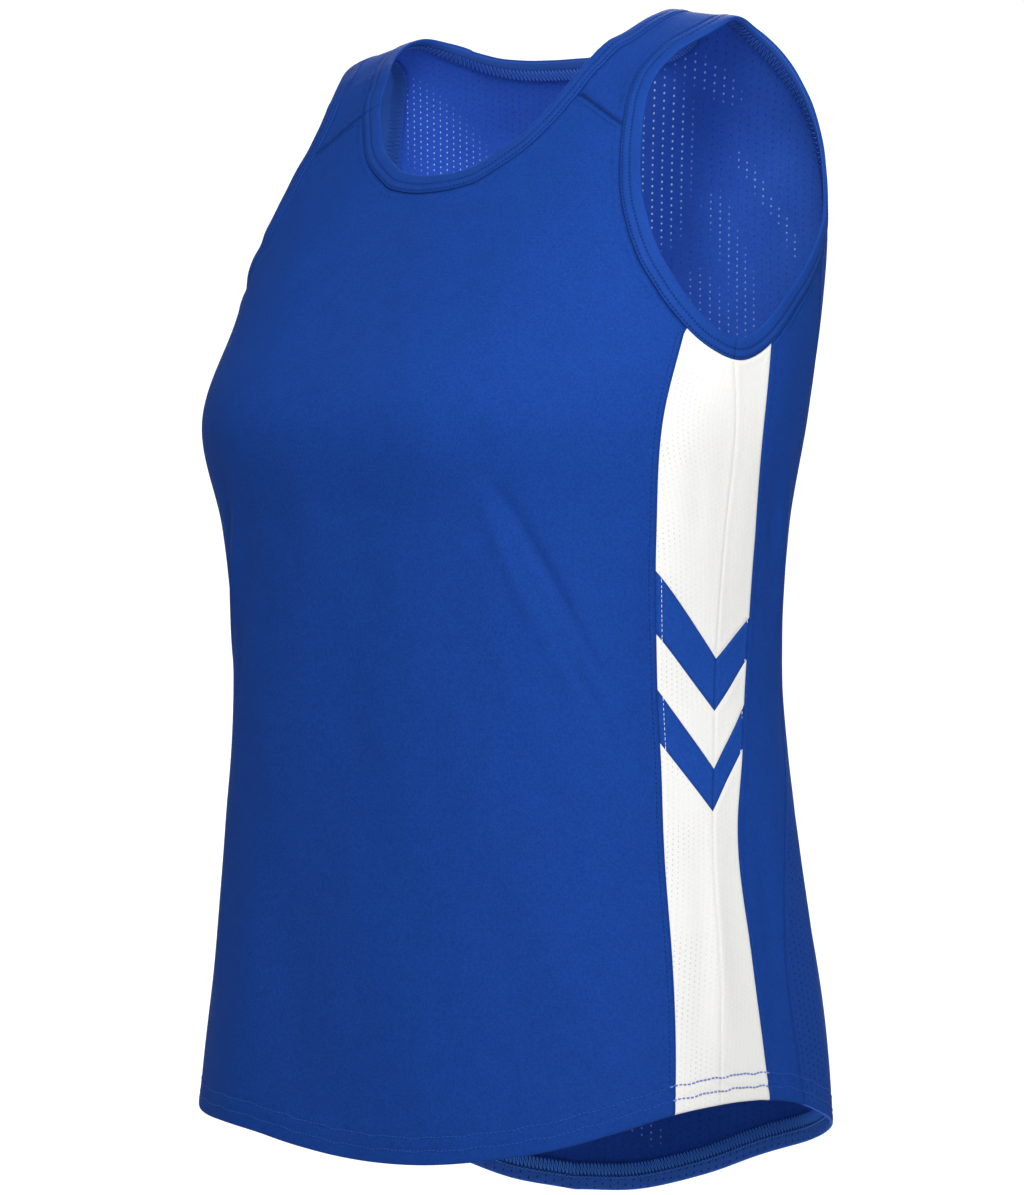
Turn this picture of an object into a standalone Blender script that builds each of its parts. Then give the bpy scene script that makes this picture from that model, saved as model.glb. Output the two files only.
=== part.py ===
"""Running singlet: a sleeveless knit top, open and filled out as it is when worn.

The front faces -Y, the wearer's left side is +X and +Z is up.  The origin is halfway
between the tops of the two shoulder straps, where the wearer's shoulders carry the top.

Every piece is a region of one surface, the cloth's inner face.  A place on it is given by
two numbers:
  around  degrees about the body from the centre front (0), past the wearer's left side
          (90) and the centre back (180), to the right side (270 or -90)
  run     metres of cloth below the shoulder ridge.  A negative run has passed over the
          ridge, onto the other face of the strap.
"""
from collections import Counter, namedtuple
from math import ceil

import bpy
import numpy as np
from mathutils import Vector
from mathutils.geometry import delaunay_2d_cdt

# Cloth and sewing, metres
CLOTH = 0.0015
SEAM_GAP = 0.0003
BINDING_WIDTH = 0.0110
BINDING_THICKNESS = 0.0024
BINDING_SINK = 0.0005
BINDING_EDGE = 0.0007

# Shoulder
RIDGE_RADIUS = 0.030
NECK_POINT = 0.082
SHOULDER_SLOPE = 0.17
SLOPE_FADE = 0.090

# Mesh spacing, metres
EDGE_STEP = 0.011
FILL_STEP = 0.019
SMALL_FILL_STEP = 0.015
FILL_CLEARANCE = 0.62
ARC_PER_DEGREE = 0.0027
TINY_STEP = 1e-4

# Level sections of the worn top, from the shoulder ridge to below the hem.
# Squareness 2 is an ellipse, and a higher one has fuller corners.
Section = namedtuple("Section", "drop half_width middle front back front_square back_square")
SECTIONS = [
    Section(0.000, 0.1650, 0.000, 0.000, 0.000, 2.70, 2.70),
    Section(0.030, 0.1675, -0.004, -0.049, 0.046, 2.80, 2.65),
    Section(0.060, 0.1690, -0.010, -0.067, 0.068, 2.80, 2.75),
    Section(0.100, 0.1690, -0.018, -0.091, 0.080, 2.55, 2.80),
    Section(0.150, 0.1675, -0.026, -0.122, 0.084, 2.40, 2.70),
    Section(0.205, 0.1650, -0.031, -0.154, 0.078, 2.50, 2.60),
    Section(0.260, 0.1560, -0.033, -0.147, 0.074, 2.40, 2.50),
    Section(0.330, 0.1490, -0.034, -0.142, 0.075, 2.45, 2.50),
    Section(0.420, 0.1560, -0.031, -0.141, 0.085, 2.50, 2.60),
    Section(0.520, 0.1680, -0.028, -0.147, 0.091, 2.60, 2.70),
    Section(0.660, 0.1800, -0.026, -0.160, 0.083, 2.60, 2.70),
]

# The armhole seam, from the ridge down the front, under the arm and up the back
Place = namedtuple("Place", "around run")
ARMHOLE = [
    Place(42.0, 0.0000),
    Place(42.0, 0.0180),
    Place(37.6, 0.0380),
    Place(35.4, 0.0600),
    Place(36.5, 0.0865),
    Place(42.0, 0.1245),
    Place(50.0, 0.1555),
    Place(59.0, 0.1780),
    Place(67.5, 0.1938),
    Place(75.0, 0.2035),
    Place(82.5, 0.2085),
    Place(89.0, 0.2070),
    Place(95.5, 0.1993),
    Place(105.0, 0.1806),
    Place(116.0, 0.1526),
    Place(122.0, 0.1300),
    Place(124.5, 0.1020),
    Place(126.2, 0.0720),
    Place(131.8, 0.0425),
    Place(137.0, 0.0225),
    Place(138.0, 0.0000),
]
ARM_AT_SHOULDER_SEAM = 4
ARM_AT_INSERT_FRONT = 8
ARM_AT_SIDE_SEAM = 10
ARM_AT_INSERT_BACK = 12
ARM_AT_BACK_SEAM = 14

# The neck seam's left half, from the centre front over the ridge to the centre back.
# Its run is negative in front, as on the back panel.
NECK = [
    Place(180.0, -0.1190),
    Place(177.0, -0.1188),
    Place(172.6, -0.1168),
    Place(168.5, -0.1130),
    Place(161.0, -0.0970),
    Place(154.8, -0.0700),
    Place(151.8, -0.0480),
    Place(148.6, -0.0320),
    Place(146.6, -0.0110),
    Place(147.2, 0.0070),
    Place(149.8, 0.0210),
    Place(154.5, 0.0320),
    Place(164.0, 0.0400),
    Place(180.0, 0.0425),
]
NECK_AT_SHOULDER_SEAM = 5

# Long seams of the left side, by their run
SeamRow = namedtuple("SeamRow", "run insert_front side insert_back back_panel")
LONG_SEAMS = [
    SeamRow(0.138, 67.5, 82.0, 95.5, 114.0),
    SeamRow(0.200, 67.0, 82.0, 95.5, 122.5),
    SeamRow(0.240, 66.0, 86.0, 96.0, 126.0),
    SeamRow(0.300, 67.0, 88.0, 100.5, 127.0),
    SeamRow(0.355, 69.0, 88.0, 101.0, 125.0),
    SeamRow(0.400, 69.0, 86.0, 96.5, 119.0),
    SeamRow(0.440, 67.5, 82.0, 91.5, 111.0),
    SeamRow(0.500, 67.0, 79.5, 91.5, 105.0),
    SeamRow(0.600, 64.0, 75.5, 93.5, 107.0),
]

# The two blue bands of each side: run of each edge at the three seams
BandEdge = namedtuple("BandEdge", "insert_front side insert_back")
BAND_EDGES = [
    BandEdge(0.312, 0.3550, 0.3350),
    BandEdge(0.343, 0.3810, 0.3560),
    BandEdge(0.370, 0.4090, 0.3780),
    BandEdge(0.396, 0.4300, 0.4000),
]
INSERT_PARTS = ["white_top", "blue_upper", "white_middle", "blue_lower", "white_bottom"]

# The hem's run: the front from the right side round to the left, then the tail by degrees
# from its lowest place
FRONT_HEM = [Place(-92.0, 0.570), Place(-80.0, 0.5720), Place(-70.0, 0.5770), Place(-60.0, 0.5835),
             Place(-50.0, 0.5890), Place(-40.0, 0.5912), Place(-30.0, 0.5920), Place(-20.0, 0.5942),
             Place(-10.0, 0.5979), Place(0.0, 0.6009), Place(10.0, 0.6018), Place(20.0, 0.6006),
             Place(30.0, 0.5968), Place(42.0, 0.590), Place(53.0, 0.5815), Place(64.0, 0.574),
             Place(80.0, 0.570), Place(92.0, 0.570)]
TAIL_HEM = [Place(0.0, 0.645), Place(15.0, 0.641), Place(30.0, 0.629), Place(45.0, 0.612),
            Place(60.0, 0.597), Place(75.0, 0.581), Place(84.0, 0.5725), Place(90.0, 0.570)]
TAIL_SWING = 20.0
HEM_GUESS = 0.57

LEFT = 1
RIGHT = -1

BLUE_KNIT = ("blue_knit", (0.013, 0.060, 0.330), 0.62)
BLUE_MESH = ("blue_mesh", (0.016, 0.068, 0.350), 0.70)
WHITE_MESH = ("white_mesh", (0.840, 0.850, 0.830), 0.72)
BLUE_BINDING = ("blue_binding", (0.015, 0.066, 0.360), 0.60)


def curve_through(places, values, wanted):
    """Values of a smooth curve through (places, values), read at the wanted places."""
    places = np.asarray(places, float)
    values = np.asarray(values, float)
    wanted = np.asarray(wanted, float)
    widths = np.diff(places)
    slopes = np.diff(values) / widths
    tangents = np.empty_like(values)
    tangents[0] = slopes[0]
    tangents[-1] = slopes[-1]
    tangents[1:-1] = (slopes[:-1] * widths[1:] + slopes[1:] * widths[:-1]) / (widths[:-1] + widths[1:])
    cell = np.clip(np.searchsorted(places, wanted) - 1, 0, len(places) - 2)
    width = widths[cell]
    part = (wanted - places[cell]) / width
    part2 = part * part
    part3 = part2 * part
    return ((2 * part3 - 3 * part2 + 1) * values[cell]
            + (part3 - 2 * part2 + part) * width * tangents[cell]
            + (3 * part2 - 2 * part3) * values[cell + 1]
            + (part3 - part2) * width * tangents[cell + 1])


def column(rows, name):
    """One named column of a table."""
    return np.array([getattr(row, name) for row in rows])


def drop_of(run):
    """Height lost below the ridge after a run of cloth over its round top."""
    return np.sqrt(run * run + RIDGE_RADIUS ** 2) - RIDGE_RADIUS


def run_of(drop):
    """The run of cloth that loses a given height."""
    return np.sqrt(drop * (drop + 2 * RIDGE_RADIUS))


def surface(around, run):
    """Points of the cloth's inner face."""
    around = np.asarray(around, float)
    run = np.asarray(run, float)
    turned = np.where(run < 0, 180.0 - around, around)
    turned = (turned + 180.0) % 360.0 - 180.0
    run = np.abs(run)
    front = np.abs(turned) <= 90.0
    lateral = np.where(front, turned, np.sign(turned) * (180.0 - np.abs(turned)))
    lateral = np.radians(lateral)
    drop = drop_of(run)
    drops = column(SECTIONS, "drop")
    half_width = curve_through(drops, column(SECTIONS, "half_width"), drop)
    middle = curve_through(drops, column(SECTIONS, "middle"), drop)
    to_front = column(SECTIONS, "front") - column(SECTIONS, "middle")
    to_back = column(SECTIONS, "back") - column(SECTIONS, "middle")
    runs = run_of(drops)
    depth = np.where(front, curve_through(runs, to_front, run), curve_through(runs, to_back, run))
    square = np.where(front, curve_through(drops, column(SECTIONS, "front_square"), drop),
                      curve_through(drops, column(SECTIONS, "back_square"), drop))
    radius = (np.abs(np.sin(lateral)) ** square + np.abs(np.cos(lateral)) ** square) ** (-1 / square)
    x = half_width * radius * np.sin(lateral)
    y = middle + depth * radius * np.cos(lateral)
    shoulder = SHOULDER_SLOPE * np.maximum(np.abs(x) - NECK_POINT, 0.0)
    z = -drop - shoulder * np.exp(-(drop / SLOPE_FADE) ** 2)
    return np.stack([x, y, z], axis=-1)


def outward(around, run):
    """Unit directions out of the cloth."""
    turn = TINY_STEP / ARC_PER_DEGREE
    across = surface(around + turn, run) - surface(around - turn, run)
    down = surface(around, run + TINY_STEP) - surface(around, run - TINY_STEP)
    normal = np.cross(down, across)
    return normal / np.linalg.norm(normal, axis=-1, keepdims=True)


def flat(places):
    """Places laid out flat, in metres, for spacing and filling."""
    places = np.asarray(places, float)
    return np.stack([places[:, 0] * ARC_PER_DEGREE, places[:, 1]], axis=1)


def unflat(points):
    """The reverse of flat."""
    return np.stack([points[:, 0] / ARC_PER_DEGREE, points[:, 1]], axis=1)


def stretch(rows, first, last):
    """Evenly spaced places along part of a curve of rows, ends included."""
    rows = np.array(rows)
    index = np.arange(len(rows))
    fine = np.linspace(first, last, 40 * abs(last - first) + 1)
    trail = np.stack([curve_through(index, rows[:, 0], fine), curve_through(index, rows[:, 1], fine)], axis=1)
    return evenly(trail)


def evenly(trail):
    """The same line with its points about EDGE_STEP apart."""
    laid = flat(trail)
    lengths = np.concatenate([[0.0], np.cumsum(np.linalg.norm(np.diff(laid, axis=0), axis=1))])
    count = max(1, ceil(lengths[-1] / EDGE_STEP))
    wanted = np.linspace(0.0, lengths[-1], count + 1)
    return np.stack([np.interp(wanted, lengths, trail[:, 0]), np.interp(wanted, lengths, trail[:, 1])], axis=1)


def joined(*lines):
    """Lines end to end, without the repeated points."""
    return np.concatenate([line[:-1] for line in lines[:-1]] + [lines[-1]])


def straight(start, end):
    """A straight line on the flat cloth."""
    return evenly(np.array([start, end]))


def seam_around(seam, run):
    """Where a long seam lies at a run."""
    return curve_through(column(LONG_SEAMS, "run"), column(LONG_SEAMS, seam), run)


def seam_line(seam, start, end):
    """A stretch of a long seam between two places that lie on it."""
    runs = np.linspace(start[1], end[1], 30)
    trail = np.stack([seam_around(seam, runs), runs], axis=1)
    trail[0] = start
    trail[-1] = end
    return evenly(trail)


def hem_run(around):
    """The run at the hem, all round the body."""
    around = (np.asarray(around, float) + 180.0) % 360.0 - 180.0
    behind = np.sign(around) * (180.0 - np.abs(around))
    swing = TAIL_SWING * (1 - (behind / 90.0) ** 2)
    tail = curve_through(column(TAIL_HEM, "around"), column(TAIL_HEM, "run"), np.abs(behind + swing))
    front = curve_through(column(FRONT_HEM, "around"), column(FRONT_HEM, "run"), around)
    return np.where(np.abs(around) <= 90.0, front, tail)


def hem_line(start, end, side):
    """The hem between two angles, on the left side (1) or the right (-1)."""
    angles = np.linspace(start, end, 60)
    return evenly(np.stack([angles, hem_run(side * angles)], axis=1))


def hem_corner(seam, side):
    """Where a long seam meets the hem."""
    run = HEM_GUESS
    for _ in range(8):
        around = float(seam_around(seam, run))
        run = float(hem_run(side * around))
    return np.array([around, run])


def over_ridge(places):
    """Front places written as places of the back panel, past the ridge."""
    places = np.atleast_2d(places)
    return np.stack([180.0 - places[:, 0], -places[:, 1]], axis=1)


def on_side(places, side):
    """Left places, put on the left side (1) or the right (-1)."""
    return np.stack([side * places[:, 0], places[:, 1]], axis=1)


def mirrored(places, centre):
    """Places reflected to the other side, in reverse order."""
    return np.stack([2 * centre - places[::-1, 0], places[::-1, 1]], axis=1)


def seam_levels(seam, top, side):
    """The junctions down one of the insert's seams, from the armhole to the hem."""
    levels = [np.array(top)]
    for edge in BAND_EDGES:
        run = getattr(edge, seam)
        levels.append(np.array([float(seam_around(seam, run)), run]))
    levels.append(hem_corner(seam, side))
    return levels


def insert_seam(seam, top, side):
    """One of the insert's seams, span by span, from the armhole to the hem."""
    levels = seam_levels(seam, top, side)
    return joined(*[seam_line(seam, levels[i], levels[i + 1]) for i in range(len(levels) - 1)])


def inset(outline, distance):
    """A closed outline drawn in by a distance."""
    laid = flat(outline)
    before = laid - np.roll(laid, 1, axis=0)
    after = np.roll(laid, -1, axis=0) - laid
    before /= np.linalg.norm(before, axis=1, keepdims=True)
    after /= np.linalg.norm(after, axis=1, keepdims=True)
    bisector = np.stack([-(before + after)[:, 1], (before + after)[:, 0]], axis=1)
    bisector /= np.linalg.norm(bisector, axis=1, keepdims=True)
    side = np.stack([-after[:, 1], after[:, 0]], axis=1)
    reach = distance / np.maximum(np.sum(bisector * side, axis=1), 0.4)
    area = np.sum(laid[:, 0] * np.roll(laid[:, 1], -1) - np.roll(laid[:, 0], -1) * laid[:, 1])
    return unflat(laid + bisector * (reach * np.sign(area))[:, None])


def inside(points, outline):
    """Which flat points lie in a closed flat outline."""
    result = np.zeros(len(points), bool)
    for a, b in zip(outline, np.roll(outline, -1, axis=0)):
        crosses = (a[1] > points[:, 1]) != (b[1] > points[:, 1])
        rise = b[1] - a[1] if b[1] != a[1] else 1.0
        result ^= crosses & (points[:, 0] < a[0] + (points[:, 1] - a[1]) / rise * (b[0] - a[0]))
    return result


def distance_to(points, outline):
    """Distance of flat points from a closed flat outline."""
    nearest = np.full(len(points), np.inf)
    for a, b in zip(outline, np.roll(outline, -1, axis=0)):
        edge = b - a
        part = np.clip((points - a) @ edge / (edge @ edge), 0.0, 1.0)
        nearest = np.minimum(nearest, np.linalg.norm(points - a - part[:, None] * edge, axis=1))
    return nearest


def filled(outline, step):
    """Places and triangles that fill a closed outline."""
    rim = flat(outline)
    low = rim.min(axis=0)
    high = rim.max(axis=0)
    count = np.ceil((high - low) / step).astype(int)
    grid = np.stack(np.meshgrid(np.linspace(low[0], high[0], count[0] + 1),
                                np.linspace(low[1], high[1], count[1] + 1)), axis=-1).reshape(-1, 2)
    grid = grid[inside(grid, rim)]
    grid = grid[distance_to(grid, rim) > FILL_CLEARANCE * step]
    points = [Vector(point) for point in np.concatenate([rim, grid])]
    edges = [(i, (i + 1) % len(rim)) for i in range(len(rim))]
    laid, _, triangles, _, _, _ = delaunay_2d_cdt(points, edges, [], 1, 1e-7)
    return unflat(np.array([tuple(point) for point in laid])), [tuple(face) for face in triangles]


def finish(name, points, faces, finish_row):
    """Make the object of a piece, with its material."""
    mesh = bpy.data.meshes.new(name)
    mesh.from_pydata([tuple(point) for point in points], [], faces)
    mesh.update()
    piece = bpy.data.objects.new(name, mesh)
    bpy.context.scene.collection.objects.link(piece)
    mesh.materials.append(material(*finish_row))
    mesh.shade_smooth()
    mesh.set_sharp_from_angle(angle=0.7)
    return piece


def material(name, colour, roughness):
    """A cloth's material, made once."""
    found = bpy.data.materials.get(name)
    if found:
        return found
    made = bpy.data.materials.new(name)
    made.use_nodes = True
    shader = made.node_tree.nodes["Principled BSDF"]
    shader.inputs["Base Color"].default_value = (*colour, 1.0)
    shader.inputs["Roughness"].default_value = roughness
    shader.inputs["Metallic"].default_value = 0.0
    return made


def panel(name, outline, finish_row, step=FILL_STEP):
    """A flat-cut piece as a closed wall of cloth: two faces and the cut edge."""
    places, triangles = filled(inset(outline, SEAM_GAP / 2), step)
    inner = surface(places[:, 0], places[:, 1])
    normals = outward(places[:, 0], places[:, 1])
    outer = inner + CLOTH * normals
    count = len(places)
    faces = []
    for a, b, c in triangles:
        facing = np.cross(outer[b] - outer[a], outer[c] - outer[a]) @ normals[a]
        a, b, c = (a, b, c) if facing > 0 else (a, c, b)
        faces += [(a + count, b + count, c + count), (a, c, b)]
    uses = Counter(frozenset(pair) for face in faces[::2] for pair in zip(face, face[1:] + face[:1]))
    for face in faces[::2]:
        for a, b in zip(face, face[1:] + face[:1]):
            if uses[frozenset((a, b))] == 1:
                faces += [(b, a, a - count), (b, a - count, b - count)]
    return finish(name, np.concatenate([inner, outer]), faces, finish_row)


def binding(name, loop, side, finish_row):
    """A folded strip sewn round an opening: its seam edge is on the loop."""
    centre = surface(loop[:, 0], loop[:, 1])
    normal = outward(loop[:, 0], loop[:, 1])
    along = np.roll(centre, -1, axis=0) - np.roll(centre, 1, axis=0)
    along /= np.linalg.norm(along, axis=1, keepdims=True)
    across = side * np.cross(normal, along)
    low = -BINDING_SINK
    high = BINDING_THICKNESS - BINDING_SINK
    start = SEAM_GAP / 2
    shape = [(start, low + BINDING_EDGE), (start + BINDING_EDGE, low), (BINDING_WIDTH - BINDING_EDGE, low),
             (BINDING_WIDTH, low + BINDING_EDGE), (BINDING_WIDTH, high - BINDING_EDGE),
             (BINDING_WIDTH - BINDING_EDGE, high), (start + BINDING_EDGE, high), (start, high - BINDING_EDGE)]
    rings = [centre + out * across + up * normal for out, up in shape]
    points = np.stack(rings, axis=1).reshape(-1, 3)
    sides = len(shape)
    stations = len(loop)
    faces = []
    for i in range(stations):
        for j in range(sides):
            a = i * sides + j
            b = i * sides + (j + 1) % sides
            c = (i + 1) % stations * sides + (j + 1) % sides
            d = (i + 1) % stations * sides + j
            faces.append((a, b, c, d) if side > 0 else (a, d, c, b))
    return finish(name, points, faces, finish_row)


def arm(first, last):
    """Part of the left armhole's seam."""
    return stretch(ARMHOLE, first, last)


def arm_loop():
    """The whole left armhole's seam, its two ends meeting on the ridge."""
    first = arm(0, ARM_AT_SHOULDER_SEAM)
    rest = [arm(a, b) for a, b in [(ARM_AT_SHOULDER_SEAM, ARM_AT_INSERT_FRONT),
                                   (ARM_AT_INSERT_FRONT, ARM_AT_SIDE_SEAM),
                                   (ARM_AT_SIDE_SEAM, ARM_AT_INSERT_BACK),
                                   (ARM_AT_INSERT_BACK, ARM_AT_BACK_SEAM),
                                   (ARM_AT_BACK_SEAM, len(ARMHOLE) - 1)]]
    return joined(first, *rest)[:-1]


def neck_loop():
    """The whole neck seam, as places of the back panel."""
    left = joined(stretch(NECK, 0, NECK_AT_SHOULDER_SEAM), stretch(NECK, NECK_AT_SHOULDER_SEAM, len(NECK) - 1))
    return np.concatenate([left[:-1], mirrored(left, 180.0)[:-1]])


def shoulder_seam():
    """The left forward shoulder seam, from the armhole to the neck, as front places."""
    neck = over_ridge(NECK[NECK_AT_SHOULDER_SEAM])[0]
    return straight(ARMHOLE[ARM_AT_SHOULDER_SEAM], neck)


def front_half(side):
    """The front panel's edge on one side, from the hem's centre to the neck's, as left places."""
    insert = insert_seam("insert_front", ARMHOLE[ARM_AT_INSERT_FRONT], side)
    return joined(hem_line(0.0, insert[-1][0], side), insert[::-1],
                  arm(ARM_AT_INSERT_FRONT, ARM_AT_SHOULDER_SEAM), shoulder_seam(),
                  over_ridge(stretch(NECK, NECK_AT_SHOULDER_SEAM, 0)))


def make_front():
    """The front panel."""
    outline = np.concatenate([front_half(LEFT)[:-1], mirrored(front_half(RIGHT), 0.0)[:-1]])
    panel("front_panel", outline, BLUE_KNIT)


def make_back():
    """The back panel, which comes over both shoulders to the forward seams."""
    top = np.array(ARMHOLE[ARM_AT_BACK_SEAM])
    upper = joined(arm(ARM_AT_BACK_SEAM, len(ARMHOLE) - 1), over_ridge(arm(0, ARM_AT_SHOULDER_SEAM)),
                   over_ridge(shoulder_seam()), stretch(NECK, NECK_AT_SHOULDER_SEAM, len(NECK) - 1))
    left = seam_line("back_panel", top, hem_corner("back_panel", LEFT))
    right = seam_line("back_panel", top, hem_corner("back_panel", RIGHT))
    angles = np.linspace(360.0 - right[-1][0], left[-1][0], 90)
    hem = evenly(np.stack([angles, hem_run(angles)], axis=1))
    outline = joined(left[::-1], upper, mirrored(upper, 180.0), mirrored(right[::-1], 180.0), hem)[:-1]
    panel("back_panel", outline, BLUE_MESH)


def make_side(name, side):
    """One side's insert and side back panel."""
    front_levels = seam_levels("insert_front", ARMHOLE[ARM_AT_INSERT_FRONT], side)
    side_levels = seam_levels("side", ARMHOLE[ARM_AT_SIDE_SEAM], side)
    back_levels = seam_levels("insert_back", ARMHOLE[ARM_AT_INSERT_BACK], side)
    halves = [("front", "insert_front", front_levels, side_levels, "side", ARM_AT_INSERT_FRONT, ARM_AT_SIDE_SEAM),
              ("back", "side", side_levels, back_levels, "insert_back", ARM_AT_SIDE_SEAM, ARM_AT_INSERT_BACK)]
    for half, near_seam, near, far, far_seam, arm_near, arm_far in halves:
        for i, part in enumerate(INSERT_PARTS):
            top = arm(arm_near, arm_far) if i == 0 else straight(near[i], far[i])
            last = i == len(INSERT_PARTS) - 1
            bottom = hem_line(far[-1][0], near[-1][0], side) if last else straight(far[i + 1], near[i + 1])
            outline = joined(top, seam_line(far_seam, far[i], far[i + 1]), bottom,
                             seam_line(near_seam, near[i], near[i + 1])[::-1])[:-1]
            cloth = BLUE_KNIT if part.startswith("blue") else WHITE_MESH
            panel(f"insert_{half}_{name}_{part}", on_side(outline, side), cloth, SMALL_FILL_STEP)
    corner = hem_corner("back_panel", side)
    insert = insert_seam("insert_back", ARMHOLE[ARM_AT_INSERT_BACK], side)
    top = np.array(ARMHOLE[ARM_AT_BACK_SEAM])
    outline = joined(arm(ARM_AT_INSERT_BACK, ARM_AT_BACK_SEAM), seam_line("back_panel", top, corner),
                     hem_line(corner[0], insert[-1][0], side), insert[::-1])[:-1]
    panel(f"side_back_{name}", on_side(outline, side), BLUE_KNIT, SMALL_FILL_STEP)


def make_bindings():
    """The neck binding and the two armhole bindings."""
    binding("neck_binding", neck_loop(), 1, BLUE_BINDING)
    binding("arm_binding_left", arm_loop(), 1, BLUE_BINDING)
    binding("arm_binding_right", on_side(arm_loop(), RIGHT), -1, BLUE_BINDING)


def main():
    for old in list(bpy.data.objects):
        bpy.data.objects.remove(old, do_unlink=True)
    make_front()
    make_back()
    make_side("left", LEFT)
    make_side("right", RIGHT)
    make_bindings()


main()
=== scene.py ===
"""Looks of the running singlet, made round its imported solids.

The front faces -Y, the wearer's left side is +X and +Z is up.  A place on the cloth is
given by two numbers:
  around  degrees about the body from the centre front (0), past the wearer's left side
          (90) and the centre back (180), to the right side (270 or -90)
  run     metres of cloth below the shoulder ridge.  A negative run has passed over the
          ridge, onto the other face of the strap.
Each panel is a thin sheet with rolled seams, a turned-up hem and its creases worked in.
"""

from collections import namedtuple
from math import ceil, cos, pi, radians, sin

import bpy
import numpy as np
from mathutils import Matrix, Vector
from mathutils.geometry import delaunay_2d_cdt


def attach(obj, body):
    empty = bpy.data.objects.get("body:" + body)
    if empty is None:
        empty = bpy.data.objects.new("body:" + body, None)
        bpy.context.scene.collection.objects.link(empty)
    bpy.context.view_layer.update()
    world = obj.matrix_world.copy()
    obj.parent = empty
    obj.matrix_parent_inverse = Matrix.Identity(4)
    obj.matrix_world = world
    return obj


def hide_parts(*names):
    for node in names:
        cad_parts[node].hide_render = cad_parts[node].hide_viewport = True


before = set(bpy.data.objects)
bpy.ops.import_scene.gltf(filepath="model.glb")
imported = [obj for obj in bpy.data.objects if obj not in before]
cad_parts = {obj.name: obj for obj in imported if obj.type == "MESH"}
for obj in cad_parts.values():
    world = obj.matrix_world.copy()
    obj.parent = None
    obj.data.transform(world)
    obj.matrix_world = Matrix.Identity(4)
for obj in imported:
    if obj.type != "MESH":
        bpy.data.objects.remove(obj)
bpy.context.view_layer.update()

# Shoulder, as on the solids, metres
RIDGE_RADIUS = 0.030
NECK_POINT = 0.082
SHOULDER_SLOPE = 0.17
SLOPE_FADE = 0.090
ARC_PER_DEGREE = 0.0027
TINY_STEP = 1e-4

# Cloth, metres: its middle lies CLOTH_LIFT out from the inner face of its solid
CLOTH_LIFT = 0.00090
KNIT = 0.00060
MESH = 0.00050
PANEL_GAP = 0.00005
CLOTH_STEP = 0.0038
EDGE_STEP = 0.0030

# Seams and hem, metres
SEAM_RINGS = [0.0009, 0.0020, 0.0033, 0.0048]
HEM_RADIUS = 0.00045
HEM_TURNS = [pi / 4, pi / 2, 3 * pi / 4, pi]
HEM_INSIDE = [0.0020, 0.0045, 0.0070, 0.0095, 0.0120, 0.0140]
HEM_ROWS = [0.0060, 0.0125]
ROW_EASE = 0.0011
HEM_LOOPS = [0.0074, 0.0134]
INSERT_ROLL = 0.35
ROW_CLEARANCE = 0.0004
FOLD_CLEARANCE = 0.0006

# Thread, metres
THREAD = 0.00021
STITCH = 0.0017
STITCH_PITCH = 0.0024
BINDING_ROWS = [0.0013, 0.0052]
BINDING_PITCH = 0.0021
LOOPER = 0.00038
LOOPER_SAMPLES = 8

# Level sections of the worn top, from the shoulder ridge to below the hem
Section = namedtuple("Section", "drop half_width middle front back front_square back_square")
SECTIONS = [Section(*row) for row in [
    (0.0, 0.165, 0.0, 0.0, 0.0, 2.7, 2.7), (0.03, 0.1675, -0.004, -0.049, 0.046, 2.8, 2.65),
    (0.06, 0.169, -0.01, -0.067, 0.068, 2.8, 2.75), (0.1, 0.169, -0.018, -0.091, 0.08, 2.55, 2.8),
    (0.15, 0.1675, -0.026, -0.122, 0.084, 2.4, 2.7), (0.205, 0.165, -0.031, -0.154, 0.078, 2.5, 2.6),
    (0.26, 0.156, -0.033, -0.147, 0.074, 2.4, 2.5), (0.33, 0.149, -0.034, -0.142, 0.075, 2.45, 2.5),
    (0.42, 0.156, -0.031, -0.141, 0.085, 2.5, 2.6), (0.52, 0.168, -0.028, -0.147, 0.091, 2.6, 2.7),
    (0.66, 0.18, -0.026, -0.16, 0.083, 2.6, 2.7),
]]

# The armhole seam, from the ridge down the front, under the arm and up the back
Place = namedtuple("Place", "around run")
ARMHOLE = [Place(*row) for row in [
    (42.0, 0.0), (42.0, 0.018), (37.6, 0.038), (35.4, 0.06), (36.5, 0.0865), (42.0, 0.1245),
    (50.0, 0.1555), (59.0, 0.178), (67.5, 0.1938), (75.0, 0.2035), (82.5, 0.2085), (89.0, 0.207),
    (95.5, 0.1993), (105.0, 0.1806), (116.0, 0.1526), (122.0, 0.13), (124.5, 0.102), (126.2, 0.072),
    (131.8, 0.0425), (137.0, 0.0225), (138.0, 0.0),
]]
ARM_AT_SHOULDER_SEAM = 4
ARM_AT_INSERT_FRONT = 8
ARM_AT_SIDE_SEAM = 10
ARM_AT_INSERT_BACK = 12
ARM_AT_BACK_SEAM = 14

# The neck seam's left half, from the centre front over the ridge to the centre back
NECK = [Place(*row) for row in [
    (180.0, -0.119), (177.0, -0.1188), (172.6, -0.1168), (168.5, -0.113), (161.0, -0.097),
    (154.8, -0.07), (151.8, -0.048), (148.6, -0.032), (146.6, -0.011), (147.2, 0.007), (149.8, 0.021),
    (154.5, 0.032), (164.0, 0.04), (180.0, 0.0425),
]]
NECK_AT_SHOULDER_SEAM = 5

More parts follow.
